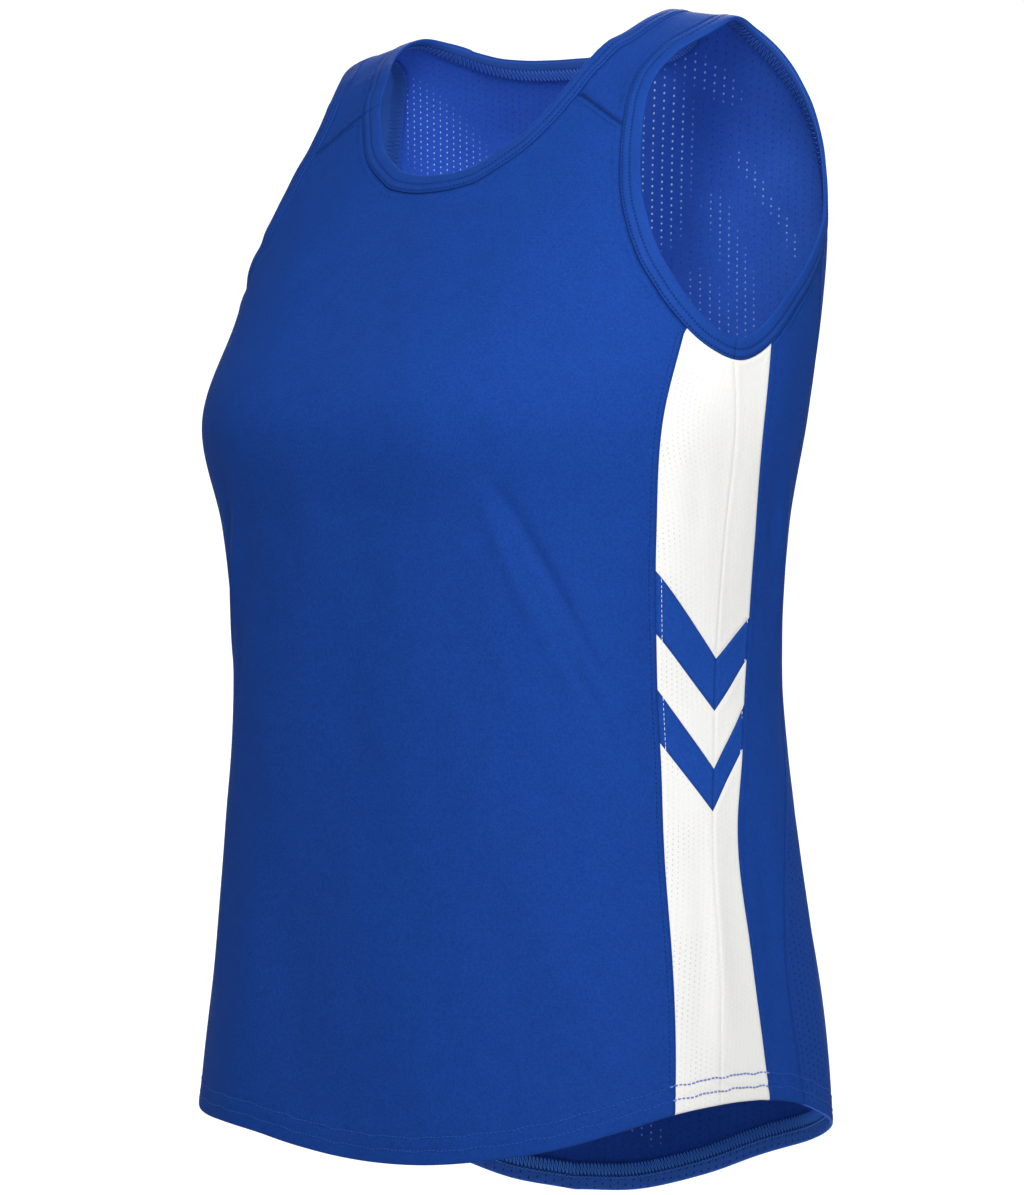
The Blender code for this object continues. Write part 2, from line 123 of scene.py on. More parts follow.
# Long seams of the left side, by their run
SeamRow = namedtuple("SeamRow", "run insert_front side insert_back back_panel")
LONG_SEAMS = [SeamRow(*row) for row in [
    (0.138, 67.5, 82.0, 95.5, 114.0), (0.2, 67.0, 82.0, 95.5, 122.5), (0.24, 66.0, 86.0, 96.0, 126.0),
    (0.3, 67.0, 88.0, 100.5, 127.0), (0.355, 69.0, 88.0, 101.0, 125.0), (0.4, 69.0, 86.0, 96.5, 119.0),
    (0.44, 67.5, 82.0, 91.5, 111.0), (0.5, 67.0, 79.5, 91.5, 105.0), (0.6, 64.0, 75.5, 93.5, 107.0),
]]

# The two blue bands of each side: run of each edge at the three seams
BandEdge = namedtuple("BandEdge", "insert_front side insert_back")
BAND_EDGES = [BandEdge(*row) for row in [
    (0.312, 0.355, 0.335), (0.343, 0.381, 0.356), (0.37, 0.409, 0.378), (0.396, 0.43, 0.4),
]]
INSERT_PARTS = ["white_top", "blue_upper", "white_middle", "blue_lower", "white_bottom"]

# The hem's run: the front from the right side round to the left, then the tail by degrees
# from its lowest place
FRONT_HEM = [Place(*row) for row in [
    (-92.0, 0.57), (-80.0, 0.572), (-70.0, 0.577), (-60.0, 0.5835), (-50.0, 0.589), (-40.0, 0.5912),
    (-30.0, 0.592), (-20.0, 0.5942), (-10.0, 0.5979), (0.0, 0.6009), (10.0, 0.6018), (20.0, 0.6006),
    (30.0, 0.5968), (42.0, 0.59), (53.0, 0.5815), (64.0, 0.574), (80.0, 0.57), (92.0, 0.57),
]]
TAIL_HEM = [Place(*row) for row in [
    (0.0, 0.645), (15.0, 0.641), (30.0, 0.629), (45.0, 0.612), (60.0, 0.597), (75.0, 0.581),
    (84.0, 0.5725), (90.0, 0.57),
]]
TAIL_SWING = 20.0
HEM_GUESS = 0.57

LEFT = 1
RIGHT = -1
SIDES = {"left": LEFT, "right": RIGHT}

# Creases: where each starts and ends on the cloth, its sideways bow, half width and height,
# metres.  A negative height is a trough.
Crease = namedtuple("Crease", "around run to_around to_run bow width height")
CREASES = [Crease(*row) for row in [
    # front, left: two long drag lines from the bust to the waist, and their ridges
    (35.0, 0.275, 55.0, 0.362, 0.0008, 0.0036, -0.0026),
    (31.5, 0.276, 44.0, 0.34, -0.003, 0.0046, 0.0017), (37.5, 0.322, 52.0, 0.38, 0.001, 0.006, 0.001),
    (49.5, 0.358, 56.5, 0.392, 0.001, 0.0042, -0.0012),
    (63.0, 0.296, 67.5, 0.348, 0.001, 0.005, -0.0012), (60.0, 0.3, 63.5, 0.352, 0.002, 0.006, 0.0009),
    # front, right
    (-36.0, 0.272, -54.0, 0.362, -0.002, 0.004, -0.0021),
    (-31.5, 0.27, -48.0, 0.35, 0.0035, 0.005, 0.0017),
    (-27.0, 0.29, -38.0, 0.372, -0.003, 0.008, -0.001),
    (-62.0, 0.292, -66.5, 0.342, -0.001, 0.0055, -0.0011),
    # front: chest, and soft lengthwise waves down to the hem
    (-4.0, 0.15, 3.0, 0.215, 0.0, 0.026, -0.0016), (22.0, 0.14, 40.0, 0.205, 0.003, 0.02, 0.0014),
    (-24.0, 0.138, -41.0, 0.2, -0.003, 0.021, 0.0012), (2.0, 0.3, -3.0, 0.4, 0.004, 0.03, -0.0017),
    (-30.0, 0.43, -27.0, 0.575, 0.004, 0.019, 0.0016),
    (-12.0, 0.455, -9.0, 0.59, -0.004, 0.021, -0.0014), (14.0, 0.44, 11.0, 0.585, 0.005, 0.02, 0.0012),
    (33.0, 0.45, 36.0, 0.57, -0.003, 0.017, -0.0012), (52.0, 0.42, 50.0, 0.56, 0.003, 0.016, 0.0011),
    (-50.0, 0.43, -52.0, 0.56, -0.003, 0.017, -0.0012),
    # front of the armholes: short dimples against the binding
    (43.0, 0.14, 48.0, 0.143, 0.0, 0.0045, -0.0011), (47.0, 0.158, 53.5, 0.16, 0.0, 0.005, -0.0013),
    (54.0, 0.178, 60.0, 0.178, 0.0, 0.0045, -0.0009), (-42.5, 0.137, -48.0, 0.141, 0.0, 0.005, -0.0011),
    (-49.0, 0.162, -55.0, 0.163, 0.0, 0.005, -0.0012),
    # straps: small wrinkles above the shoulder seam
    (24.5, 0.048, 33.0, 0.062, 0.001, 0.0032, -0.0011),
    (26.0, 0.04, 34.5, 0.049, 0.001, 0.0034, 0.0009),
    (30.0, 0.064, 35.0, 0.078, 0.001, 0.0028, -0.0009), (26.5, 0.064, 30.0, 0.074, 0.0, 0.0024, 0.0006),
    (-25.0, 0.05, -33.0, 0.066, -0.001, 0.0034, -0.001),
    (-28.0, 0.042, -35.0, 0.052, -0.001, 0.0036, 0.0008),
    # left side insert and side back
    (74.0, 0.25, 79.0, 0.3, 0.001, 0.008, -0.0009), (76.0, 0.455, 71.5, 0.55, 0.003, 0.008, -0.0011),
    (83.0, 0.44, 80.0, 0.54, -0.002, 0.0075, 0.0009), (104.0, 0.25, 112.0, 0.33, 0.004, 0.009, -0.0013),
    (112.0, 0.255, 119.0, 0.34, 0.003, 0.009, 0.0011), (99.0, 0.43, 98.0, 0.54, 0.003, 0.008, -0.0011),
    # right side insert and side back
    (-75.0, 0.245, -80.0, 0.305, -0.001, 0.008, -0.001),
    (-78.0, 0.45, -73.0, 0.545, -0.003, 0.0085, 0.001),
    (-103.0, 0.255, -110.0, 0.325, -0.004, 0.009, 0.0011),
    (-110.0, 0.25, -118.0, 0.335, -0.003, 0.0095, -0.0014),
    (-98.0, 0.425, -99.0, 0.545, -0.003, 0.0085, -0.0011),
    # back: drag lines at the shoulder blades and waist, then lengthwise folds
    (140.0, 0.095, 162.0, 0.15, 0.006, 0.011, -0.0016),
    (143.0, 0.125, 165.0, 0.172, 0.006, 0.011, 0.0013),
    (-138.0, 0.09, -160.0, 0.155, -0.006, 0.012, -0.0016),
    (-144.0, 0.13, -163.0, 0.18, -0.006, 0.011, 0.0012),
    (176.0, 0.07, 170.0, 0.2, 0.004, 0.014, 0.0012), (134.0, 0.29, 160.0, 0.345, 0.006, 0.009, -0.0021),
    (132.0, 0.31, 156.0, 0.362, 0.006, 0.009, 0.0016),
    (-135.0, 0.285, -158.0, 0.35, -0.006, 0.0095, -0.002),
    (-133.0, 0.305, -154.0, 0.366, -0.006, 0.009, 0.0015),
    (172.0, 0.3, -172.0, 0.33, 0.004, 0.012, -0.0012), (150.0, 0.4, 146.0, 0.59, 0.006, 0.015, 0.0022),
    (163.0, 0.42, 160.0, 0.61, -0.006, 0.015, -0.002), (178.0, 0.39, 175.0, 0.62, 0.006, 0.017, 0.0018),
    (-167.0, 0.41, -165.0, 0.6, -0.005, 0.015, -0.0021),
    (-151.0, 0.4, -149.0, 0.59, 0.005, 0.015, 0.0019),
    (-136.0, 0.42, -133.0, 0.57, -0.004, 0.013, -0.0015),
    (128.0, 0.42, 124.0, 0.56, 0.004, 0.012, -0.0014),
]]
CREASE_ENDS = 1.6
CREASE_START_SHARE = 0.35
FINE_CREASE = 0.0100
CREASE_LINES = [-2.1, -1.5, -1.05, -0.7, -0.35, 0.0, 0.35, 0.7, 1.05, 1.5, 2.1]

# Slow unevenness of hanging cloth: waves round the body, metres of run a wave, height
Ripple = namedtuple("Ripple", "around_waves run_wave phase height")
RIPPLES = [Ripple(*row) for row in [
    (5, 0.24, 0.4, 0.0005), (-9, 0.17, 2.1, 0.00035), (14, 0.31, 4.0, 0.00028),
    (-21, 0.11, 1.2, 0.00016),
]]
RIDGE_FADE = 0.030

# Painted light: where light would come through the back's eyelets, seen from inside, painted as light dots:
# the start and end of each stroke on the cloth, its half width in metres and its strength
Glint = namedtuple("Glint", "around run to_around to_run width strength")
GLINTS = [Glint(*row) for row in [
    (227.0, 0.042, 221.0, 0.078, 0.024, 0.8), (169.0, 0.058, 179.0, 0.12, 0.02, 1.0),
    (158.0, 0.044, 153.0, 0.056, 0.013, 0.7), (156.5, 0.094, 143.0, 0.146, 0.006, 0.6),
    (164.0, 0.118, 157.0, 0.182, 0.011, 0.45), (170.0, 0.16, 161.0, 0.192, 0.013, 0.4),
    (197.0, 0.12, 206.0, 0.21, 0.017, 0.7), (189.0, 0.604, 182.0, 0.612, 0.008, 0.35),
]]
# Painted shade in the eyelets' dark pits on the inner face and on the straps, and how much of the inner
# face's painted light the turned-up hem gets
INNER_PITS = -0.38
HEM_FACE = 1.0
STRAP_PITS = -0.12

# The inner face's eyelet columns stand plumb, square to this direction.  Their spacing and
# the rows' spacing, metres, change along it.
COLUMN_TURN = radians(44.0)
ColumnStep = namedtuple("ColumnStep", "place column row")
COLUMN_STEPS = [ColumnStep(*row) for row in [
    (-0.2, 0.0035, 0.003), (0.008, 0.0036, 0.003), (0.04, 0.0049, 0.00357), (0.084, 0.005, 0.00357),
    (0.1, 0.0041, 0.00357), (0.138, 0.0036, 0.00357), (0.2, 0.0035, 0.00357),
]]


def curve_through(places, values, wanted):
    """Values of a smooth curve through (places, values), read at the wanted places."""
    places = np.asarray(places, float)
    values = np.asarray(values, float)
    wanted = np.asarray(wanted, float)
    widths = np.diff(places)
    slopes = np.diff(values) / widths
    tangents = np.empty_like(values)
    tangents[0] = slopes[0]
    tangents[-1] = slopes[-1]
    tangents[1:-1] = (slopes[:-1] * widths[1:] + slopes[1:] * widths[:-1]) / (widths[:-1] + widths[1:])
    cell = np.clip(np.searchsorted(places, wanted) - 1, 0, len(places) - 2)
    width = widths[cell]
    part = (wanted - places[cell]) / width
    part2 = part * part
    part3 = part2 * part
    return ((2 * part3 - 3 * part2 + 1) * values[cell]
            + (part3 - 2 * part2 + part) * width * tangents[cell]
            + (3 * part2 - 2 * part3) * values[cell + 1]
            + (part3 - part2) * width * tangents[cell + 1])


def column(rows, name):
    """One named column of a table."""
    return np.array([getattr(row, name) for row in rows])


def read_table(rows, place, value, wanted):
    """One column of a table read as a smooth curve over another."""
    return curve_through(column(rows, place), column(rows, value), wanted)


def pairs(first, second):
    """Two rows of numbers as one row of pairs."""
    return np.stack([first, second], axis=1)


def bell(away, width):
    """One at nothing away, and soon nothing beyond the width."""
    return np.exp(-(away / width) ** 2)


def half_turn(degrees):
    """The same angle from -180 to 180."""
    return (degrees + 180.0) % 360.0 - 180.0


def lengths_along(points):
    """How far along a line each of its points lies."""
    return np.concatenate([[0.0], np.cumsum(np.linalg.norm(np.diff(points, axis=0), axis=1))])


def read_along(where, lengths, rows):
    """Rows kept at lengths along a line, read at other lengths."""
    return np.stack([np.interp(where, lengths, values) for values in rows.T], axis=1)


def direction(points, closed):
    """Which way a line of points runs at each of them."""
    if closed:
        return unit(np.roll(points, -1, axis=0) - np.roll(points, 1, axis=0))
    return unit(np.gradient(points, axis=0))


def drop_of(run):
    """Height lost below the ridge after a run of cloth over its round top."""
    return np.sqrt(run * run + RIDGE_RADIUS ** 2) - RIDGE_RADIUS


def run_of(drop):
    """The run of cloth that loses a given height."""
    return np.sqrt(drop * (drop + 2 * RIDGE_RADIUS))


def own_face(around, run):
    """The same places with a positive run, and their angle from -180 to 180."""
    around = np.asarray(around, float)
    run = np.asarray(run, float)
    turned = np.where(run < 0, 180.0 - around, around)
    return half_turn(turned), np.abs(run)


def surface(around, run):
    """Points of the solids' inner face, without creases."""
    turned, run = own_face(around, run)
    front = np.abs(turned) <= 90.0
    lateral = np.where(front, turned, np.sign(turned) * (180.0 - np.abs(turned)))
    lateral = np.radians(lateral)
    drop = drop_of(run)
    half_width, middle, front_square, back_square = (
        read_table(SECTIONS, "drop", name, drop)
        for name in ("half_width", "middle", "front_square", "back_square"))
    to_front = column(SECTIONS, "front") - column(SECTIONS, "middle")
    to_back = column(SECTIONS, "back") - column(SECTIONS, "middle")
    runs = run_of(column(SECTIONS, "drop"))
    painted_darkening = np.where(front, curve_through(runs, to_front, run), curve_through(runs, to_back, run))
    square = np.where(front, front_square, back_square)
    radius = (np.abs(np.sin(lateral)) ** square + np.abs(np.cos(lateral)) ** square) ** (-1 / square)
    x = half_width * radius * np.sin(lateral)
    y = middle + painted_darkening * radius * np.cos(lateral)
    shoulder = SHOULDER_SLOPE * np.maximum(np.abs(x) - NECK_POINT, 0.0)
    z = -drop - shoulder * bell(drop, SLOPE_FADE)
    return np.stack([x, y, z], axis=-1)


def outward(around, run):
    """Unit directions out of the cloth."""
    turn = TINY_STEP / ARC_PER_DEGREE
    across = surface(around + turn, run) - surface(around - turn, run)
    down = surface(around, run + TINY_STEP) - surface(around, run - TINY_STEP)
    return unit(np.cross(down, across))


def unit(directions):
    """The directions with length one."""
    return directions / np.linalg.norm(directions, axis=-1, keepdims=True)


def crease_reach(crease):
    """A crease from its start to its end, as flat metres, and its length."""
    reach = np.array([half_turn(crease.to_around - crease.around) * ARC_PER_DEGREE,
                      crease.to_run - crease.run])
    return reach, np.linalg.norm(reach)


def relief(around, run):
    """How far the creases and ripples move the cloth out of its plain form."""
    around, run = own_face(around, run)
    moved = np.zeros_like(run)
    for crease in CREASES:
        reach, length = crease_reach(crease)
        x = half_turn(around - crease.around) * ARC_PER_DEGREE
        y = run - crease.run
        part = (x * reach[0] + y * reach[1]) / length ** 2
        held = np.clip(part, 0, 1)
        beside = (x * reach[1] - y * reach[0]) / length - crease.bow * 4 * held * (1 - held)
        beyond = (part - held) * length / CREASE_ENDS
        swell = CREASE_START_SHARE + (1 - CREASE_START_SHARE) * np.sin(pi * held)
        moved += crease.height * swell * np.exp(-(beside ** 2 + beyond ** 2) / crease.width ** 2)
    for ripple in RIPPLES:
        turn = np.radians(around) * ripple.around_waves + 2 * pi * run / ripple.run_wave
        moved += ripple.height * np.sin(turn + ripple.phase)
    return moved * (1 - bell(run, RIDGE_FADE))


def worn(around, run, lift=0.0):
    """Points of the creased cloth, lifted out from the solids' inner face."""
    return surface(around, run) + (relief(around, run) + lift)[..., None] * outward(around, run)


def glints(around, run):
    """Painted light of the eyelets on the inner face, or painted shade in their pits where it is negative."""
    shown = np.full(np.shape(run), INNER_PITS)
    for glint in GLINTS:
        reach = np.array([(glint.to_around - glint.around) * ARC_PER_DEGREE, glint.to_run - glint.run])
        x = (around - glint.around) * ARC_PER_DEGREE
        y = run - glint.run
        part = np.clip((x * reach[0] + y * reach[1]) / (reach @ reach), 0, 1)
        away = np.hypot(x - part * reach[0], y - part * reach[1]) / glint.width
        shown = np.maximum(shown, INNER_PITS + (glint.strength - INNER_PITS) * np.exp(-away ** 4))
    return shown


def plumb_columns(points):
    """Flat measures of the inner face, counted so that its eyelet columns stand plumb."""
    where = points[:, 0] * cos(COLUMN_TURN) + points[:, 1] * sin(COLUMN_TURN)
    places = column(COLUMN_STEPS, "place")
    fine = np.linspace(places[0], places[-1], 400)
    steps = np.interp(fine, places, column(COLUMN_STEPS, "column"))
    counts = np.append(0.0, np.cumsum(np.diff(fine) / ((steps[1:] + steps[:-1]) / 2)))
    rows = -points[:, 2] / np.interp(where, places, column(COLUMN_STEPS, "row"))
    return pairs(np.interp(where, fine, counts) * BLUE_EYELETS.column, rows * BLUE_EYELETS.row)


def flat(places):
    """Places laid out flat, in metres, for spacing and filling."""
    places = np.asarray(places, float)
    return pairs(places[:, 0] * ARC_PER_DEGREE, places[:, 1])


def unflat(points):
    """The reverse of flat."""
    return pairs(points[:, 0] / ARC_PER_DEGREE, points[:, 1])


def stretch(rows, first, last):
    """Evenly spaced places along part of a curve of rows, ends included."""
    rows = np.array(rows)
    index = np.arange(len(rows))
    fine = np.linspace(first, last, 40 * abs(last - first) + 1)
    return evenly(pairs(*[curve_through(index, values, fine) for values in rows.T]))


def evenly(trail):
    """The same line with its points about a step apart."""
    lengths = lengths_along(flat(trail))
    count = max(1, ceil(lengths[-1] / EDGE_STEP))
    return read_along(np.linspace(0.0, lengths[-1], count + 1), lengths, trail)


def joined(*lines):
    """Lines end to end, without the repeated points."""
    return np.concatenate([line[:-1] for line in lines[:-1]] + [lines[-1]])


def straight(start, end):
    """A straight line on the flat cloth."""
    return evenly(np.array([start, end]))


def seam_around(seam, run):
    """Where a long seam lies at a run."""
    return read_table(LONG_SEAMS, "run", seam, run)


def seam_line(seam, start, end):
    """A stretch of a long seam between two places that lie on it."""
    runs = np.linspace(start[1], end[1], 60)
    trail = pairs(seam_around(seam, runs), runs)
    trail[0] = start
    trail[-1] = end
    return evenly(trail)


def hem_run(around):
    """The run at the hem, all round the body."""
    around = half_turn(np.asarray(around, float))
    behind = np.sign(around) * (180.0 - np.abs(around))
    swing = TAIL_SWING * (1 - (behind / 90.0) ** 2)
    tail = read_table(TAIL_HEM, "around", "run", np.abs(behind + swing))
    front = read_table(FRONT_HEM, "around", "run", around)
    return np.where(np.abs(around) <= 90.0, front, tail)


def hem_line(start, end, side):
    """The hem between two angles, on the left side (1) or the right (-1)."""
    angles = np.linspace(start, end, 120)
    return evenly(pairs(angles, hem_run(side * angles)))


def hem_corner(seam, side):
    """Where a long seam meets the hem."""
    run = HEM_GUESS
    for _ in range(8):
        around = float(seam_around(seam, run))
        run = float(hem_run(side * around))
    return np.array([around, run])


def over_ridge(places):
    """Front places written as places of the back panel, past the ridge."""
    places = np.atleast_2d(places)
    return pairs(180.0 - places[:, 0], -places[:, 1])


def on_side(places, side):
    """Left places, put on the left side (1) or the right (-1)."""
    return pairs(side * places[:, 0], places[:, 1])


def mirrored(places, centre):
    """Places reflected to the other side, in reverse order."""
    return pairs(2 * centre - places[::-1, 0], places[::-1, 1])


def arm(first, last):
    """Part of the left armhole's seam."""
    return stretch(ARMHOLE, first, last)


def arm_loop():
    """The whole left armhole's seam, from the ridge down the front and up the back."""
    stops = [0, ARM_AT_SHOULDER_SEAM, ARM_AT_INSERT_FRONT, ARM_AT_SIDE_SEAM, ARM_AT_INSERT_BACK,
             ARM_AT_BACK_SEAM, len(ARMHOLE) - 1]
    return joined(*[arm(a, b) for a, b in zip(stops, stops[1:])])[:-1]


def neck_loop():
    """The whole neck seam, as places of the back panel."""
    left = joined(stretch(NECK, 0, NECK_AT_SHOULDER_SEAM),
                  stretch(NECK, NECK_AT_SHOULDER_SEAM, len(NECK) - 1))
    return np.concatenate([left[:-1], mirrored(left, 180.0)[:-1]])


def shoulder_seam():
    """The left forward shoulder seam, from the armhole to the neck, as front places."""
    neck = over_ridge(NECK[NECK_AT_SHOULDER_SEAM])[0]
    return straight(ARMHOLE[ARM_AT_SHOULDER_SEAM], neck)


def seam_levels(seam, top, side):
    """The junctions down one of the insert's seams, from the armhole to the hem."""
    levels = [np.array(top)]
    for edge in BAND_EDGES:
        run = getattr(edge, seam)
        levels.append(np.array([float(seam_around(seam, run)), run]))
    levels.append(hem_corner(seam, side))
    return levels


def insert_seam(seam, top, side):
    """One of the insert's seams, span by span, from the armhole to the hem."""
    levels = seam_levels(seam, top, side)
    return joined(*[seam_line(seam, upper, lower) for upper, lower in zip(levels, levels[1:])])


def inset(outline, distance):
    """A closed outline drawn in by a distance."""
    laid = flat(outline)
    before = unit(laid - np.roll(laid, 1, axis=0))
    after = unit(np.roll(laid, -1, axis=0) - laid)
    bisector = unit(pairs(-(before + after)[:, 1], (before + after)[:, 0]))
    side = pairs(-after[:, 1], after[:, 0])
    reach = distance / np.maximum(np.sum(bisector * side, axis=1), 0.4)
    area = np.sum(laid[:, 0] * np.roll(laid[:, 1], -1) - np.roll(laid[:, 0], -1) * laid[:, 1])
    return unflat(laid + bisector * (reach * np.sign(area))[:, None])


def inside(points, outline):
    """Which flat points lie in a closed flat outline."""
    result = np.zeros(len(points), bool)
    for a, b in zip(outline, np.roll(outline, -1, axis=0)):
        crosses = (a[1] > points[:, 1]) != (b[1] > points[:, 1])
        rise = b[1] - a[1] if b[1] != a[1] else 1.0
        result ^= crosses & (points[:, 0] < a[0] + (points[:, 1] - a[1]) / rise * (b[0] - a[0]))
    return result


def distance_to(points, outline, kept):
    """Distance of flat points from the kept edges of a closed flat outline."""
    nearest = np.full(len(points), np.inf)
    for a, b, keep in zip(outline, np.roll(outline, -1, axis=0), kept):
        if keep:
            edge = b - a
            part = np.clip((points - a) @ edge / (edge @ edge), 0.0, 1.0)
            nearest = np.minimum(nearest, np.linalg.norm(points - a - part[:, None] * edge, axis=1))
    return nearest


class Grain:
    """The cloth's own flat measure: metres round the body from the centre front, at each run."""

    def __init__(self):
        self.angles = np.arange(0.0, 180.5, 1.0)
        self.runs = np.linspace(0.0, 0.66, 133)
        around, run = np.meshgrid(self.angles, self.runs, indexing="ij")
        steps = np.linalg.norm(np.diff(surface(around, run), axis=0), axis=2)
        self.table = np.concatenate([np.zeros((1, len(self.runs))), np.cumsum(steps, axis=0)])

    def from_front(self, around, run):
        """Metres of cloth from the centre front, to the left positive."""
        turned, run = own_face(around, run)
        a = np.clip(np.abs(turned), 0, 179.999)
        r = np.clip(run, 0, self.runs[-1] - 1e-6) / (self.runs[1] - self.runs[0])
        i = a.astype(int)
        j = r.astype(int)
        p = a - i
        q = r - j
        t = self.table
        length = ((1 - p) * (1 - q) * t[i, j] + p * (1 - q) * t[i + 1, j]
                  + (1 - p) * q * t[i, j + 1] + p * q * t[i + 1, j + 1])
        return np.sign(turned) * length

    def laid(self, places, from_back):
        """Places as flat metres, counted from the centre front or the centre back."""
        around = places[:, 0]
        run = places[:, 1]
        length = self.from_front(around, run)
        if from_back:
            half = self.from_front(np.full_like(run, 180.0), np.abs(run))
            behind = np.where(run < 0, np.abs(length), np.abs(half) - np.abs(length))
            length = np.sign(180.0 - around) * behind
        return pairs(length, run)


GRAIN = Grain()


def operation(name, swapped=False):
    """A method of Signal that adds one Math node."""
    def made(self, *others):
        values = (*others, self) if swapped else (self, *others)
        return self.recipe.node("ShaderNodeMath", {"operation": name}, dict(enumerate(values)))
    return made


class Signal:
    """A socket of a material in the making.  Operators on it add Math nodes."""

    def __init__(self, recipe, socket):
        self.recipe = recipe
        self.socket = socket

    __add__ = operation("ADD")
    __sub__ = operation("SUBTRACT")
    __rsub__ = operation("SUBTRACT", True)
    __mul__ = operation("MULTIPLY")
    __truediv__ = operation("DIVIDE")
    floor = operation("FLOOR")
    part = operation("FRACT")
    size = operation("ABSOLUTE")
    sine = operation("SINE")
    root = operation("SQRT")
    least = operation("MINIMUM")
    most = operation("MAXIMUM")


class Nodes:
    """A node tree in the making: its last shader and the one way to add a node."""

    def __init__(self, owner, shader):
        owner.use_nodes = True
        self.tree = owner.node_tree
        self.shader = self.tree.nodes[shader]

    def node(self, kind, settings=None, inputs=None, output=0):
        """A new node: its settings first, then the values or links of its sockets."""
        made = self.tree.nodes.new(kind)
        for name, value in (settings or {}).items():
            setattr(made, name, value)
        for name, value in (inputs or {}).items():
            if isinstance(value, Signal):
                self.tree.links.new(value.socket, made.inputs[name])
            else:
                made.inputs[name].default_value = value
        return Signal(self, made.outputs[output])

    def feed(self, name, signal):
        """Link a signal to one of the shader's sockets."""
        self.tree.links.new(signal.socket, self.shader.inputs[name])

    def ramp(self, value, low, high, to_low=0.0, to_high=1.0):
        """A smooth step of a value from one level to another."""
        return self.node("ShaderNodeMapRange", {"interpolation_type": "SMOOTHSTEP"},
                         {"Value": value, "From Min": low, "From Max": high,
                          "To Min": to_low, "To Max": to_high})


class Recipe(Nodes):
    """A material in the making."""

    def __init__(self, name, roughness, specular, sheen, let_through=0.0):
        self.material = bpy.data.materials.new(name)
        super().__init__(self.material, "Principled BSDF")
        constants = {"Roughness": roughness, "Specular IOR Level": specular, "Sheen Weight": sheen,
                     "Sheen Roughness": SHEEN_ROUGHNESS, "Subsurface Weight": let_through,
                     "Subsurface Radius": LIGHT_REACH, "Subsurface Scale": LIGHT_DEPTH}
        for socket, value in constants.items():
            self.shader.inputs[socket].default_value = value

    def grain(self):
        """The two flat measures of the cloth, in metres."""
        laid = self.node("ShaderNodeUVMap", {"uv_map": "grain"})
        parts = {"Vector": laid}
        return (self.node("ShaderNodeSeparateXYZ", None, parts, "X"),
                self.node("ShaderNodeSeparateXYZ", None, parts, "Y"))

    def noise(self, scale, detail=2.0, rough=0.5):
        """Noise over the object's own coordinates."""
        place = self.node("ShaderNodeTexCoord", None, None, "Object")
        return self.node("ShaderNodeTexNoise", None,
                         {"Vector": place, "Scale": scale, "Detail": detail, "Roughness": rough}, "Fac")

    def mark(self, name):
        """A value kept at the piece's points."""
        return self.node("ShaderNodeAttribute", {"attribute_name": name}, None, "Fac")

    def sewn(self, colour):
        """A colour with painted shade in the seams' grooves and under the looper threads."""
        return self.mix((self.mark("painted_shade") * (self.noise(330.0, 2.0) * 0.7 + 0.55)).least(0.9),
                        colour, PAINTED_SHADE_BLUE)

    def puckers(self):
        """Small dimples beside the sewing."""
        return self.mark("drawn") * self.noise(260.0, 2.0) * 1.6

    def mix(self, factor, first, second):
        """Two colours mixed by a factor."""
        return self.node("ShaderNodeMix", {"data_type": "RGBA"}, {0: factor, 6: first, 7: second}, 2)

    def bump(self, height, distance, strength=1.0):
        """Raise the surface by a height of 0 to 1 times the distance."""
        self.feed("Normal", self.node("ShaderNodeBump", None,
                                      {"Strength": strength, "Distance": distance, "Height": height}))


def shade(colour, factor):
    """A colour made lighter or darker, with its alpha."""
    return (*[channel * factor for channel in colour], 1.0)


ROYAL = (0.0100, 0.0515, 0.2760)
ROYAL_BAND = (0.0125, 0.0640, 0.3300)
ROYAL_MESH = (0.0108, 0.0510, 0.2720)
# Painted light: the inner faces' colour, lighter than the outside so that the inside of the top looks lit
ROYAL_INSIDE_PAINTED_LIGHT = (0.0380, 0.1290, 0.5350)
ROYAL_BINDING = (0.0105, 0.0535, 0.2820)
# Painted light: the dots where light would come through the eyelets
LIGHT_DOT = (0.6600, 0.8600, 1.0000)
WHITE = (0.855, 0.860, 0.845)
# Painted shade in the white mesh's eyelets and seams
PAINTED_SHADE_GREY = (0.400, 0.420, 0.440)
SHEEN_ROUGHNESS = 0.45
# Painted shade in the seams' grooves and under the looper threads
PAINTED_SHADE_BLUE = (0.0030, 0.0120, 0.0600, 1.0)

# How deep light goes into the cloth, for red, green and blue, and its scale in metres
LIGHT_REACH = (0.5, 0.7, 1.0)
LIGHT_DEPTH = 0.0015

WALE = 0.0010
COURSE = 0.0008
Eyelets = namedtuple("Eyelets", "column row radius soft")
BLUE_EYELETS = Eyelets(0.0054, 0.0034, 0.00050, 0.00014)
WHITE_EYELETS = Eyelets(0.0030, 0.0025, 0.00036, 0.00012)


def loops(u, v, wale, course):
    """Height of plain knit loops: ribs along the run, nicked at each course."""
    rib = (u * (pi / wale)).sine().size()
    nick = (v * (2 * pi / course) + rib * 1.4).sine()
    return rib * 0.65 + nick * 0.18 + 0.2


def from_hole(eyelets, u, v):
    """Distance of each place from the middle of the nearest eyelet, in metres."""
    across = u / eyelets.column
    down = v / eyelets.row + (across.floor() * 0.5).part()
    x = (across.part() - 0.5) * eyelets.column
    y = (down.part() - 0.5) * eyelets.row
    return (x * x + y * y * 0.75).root()


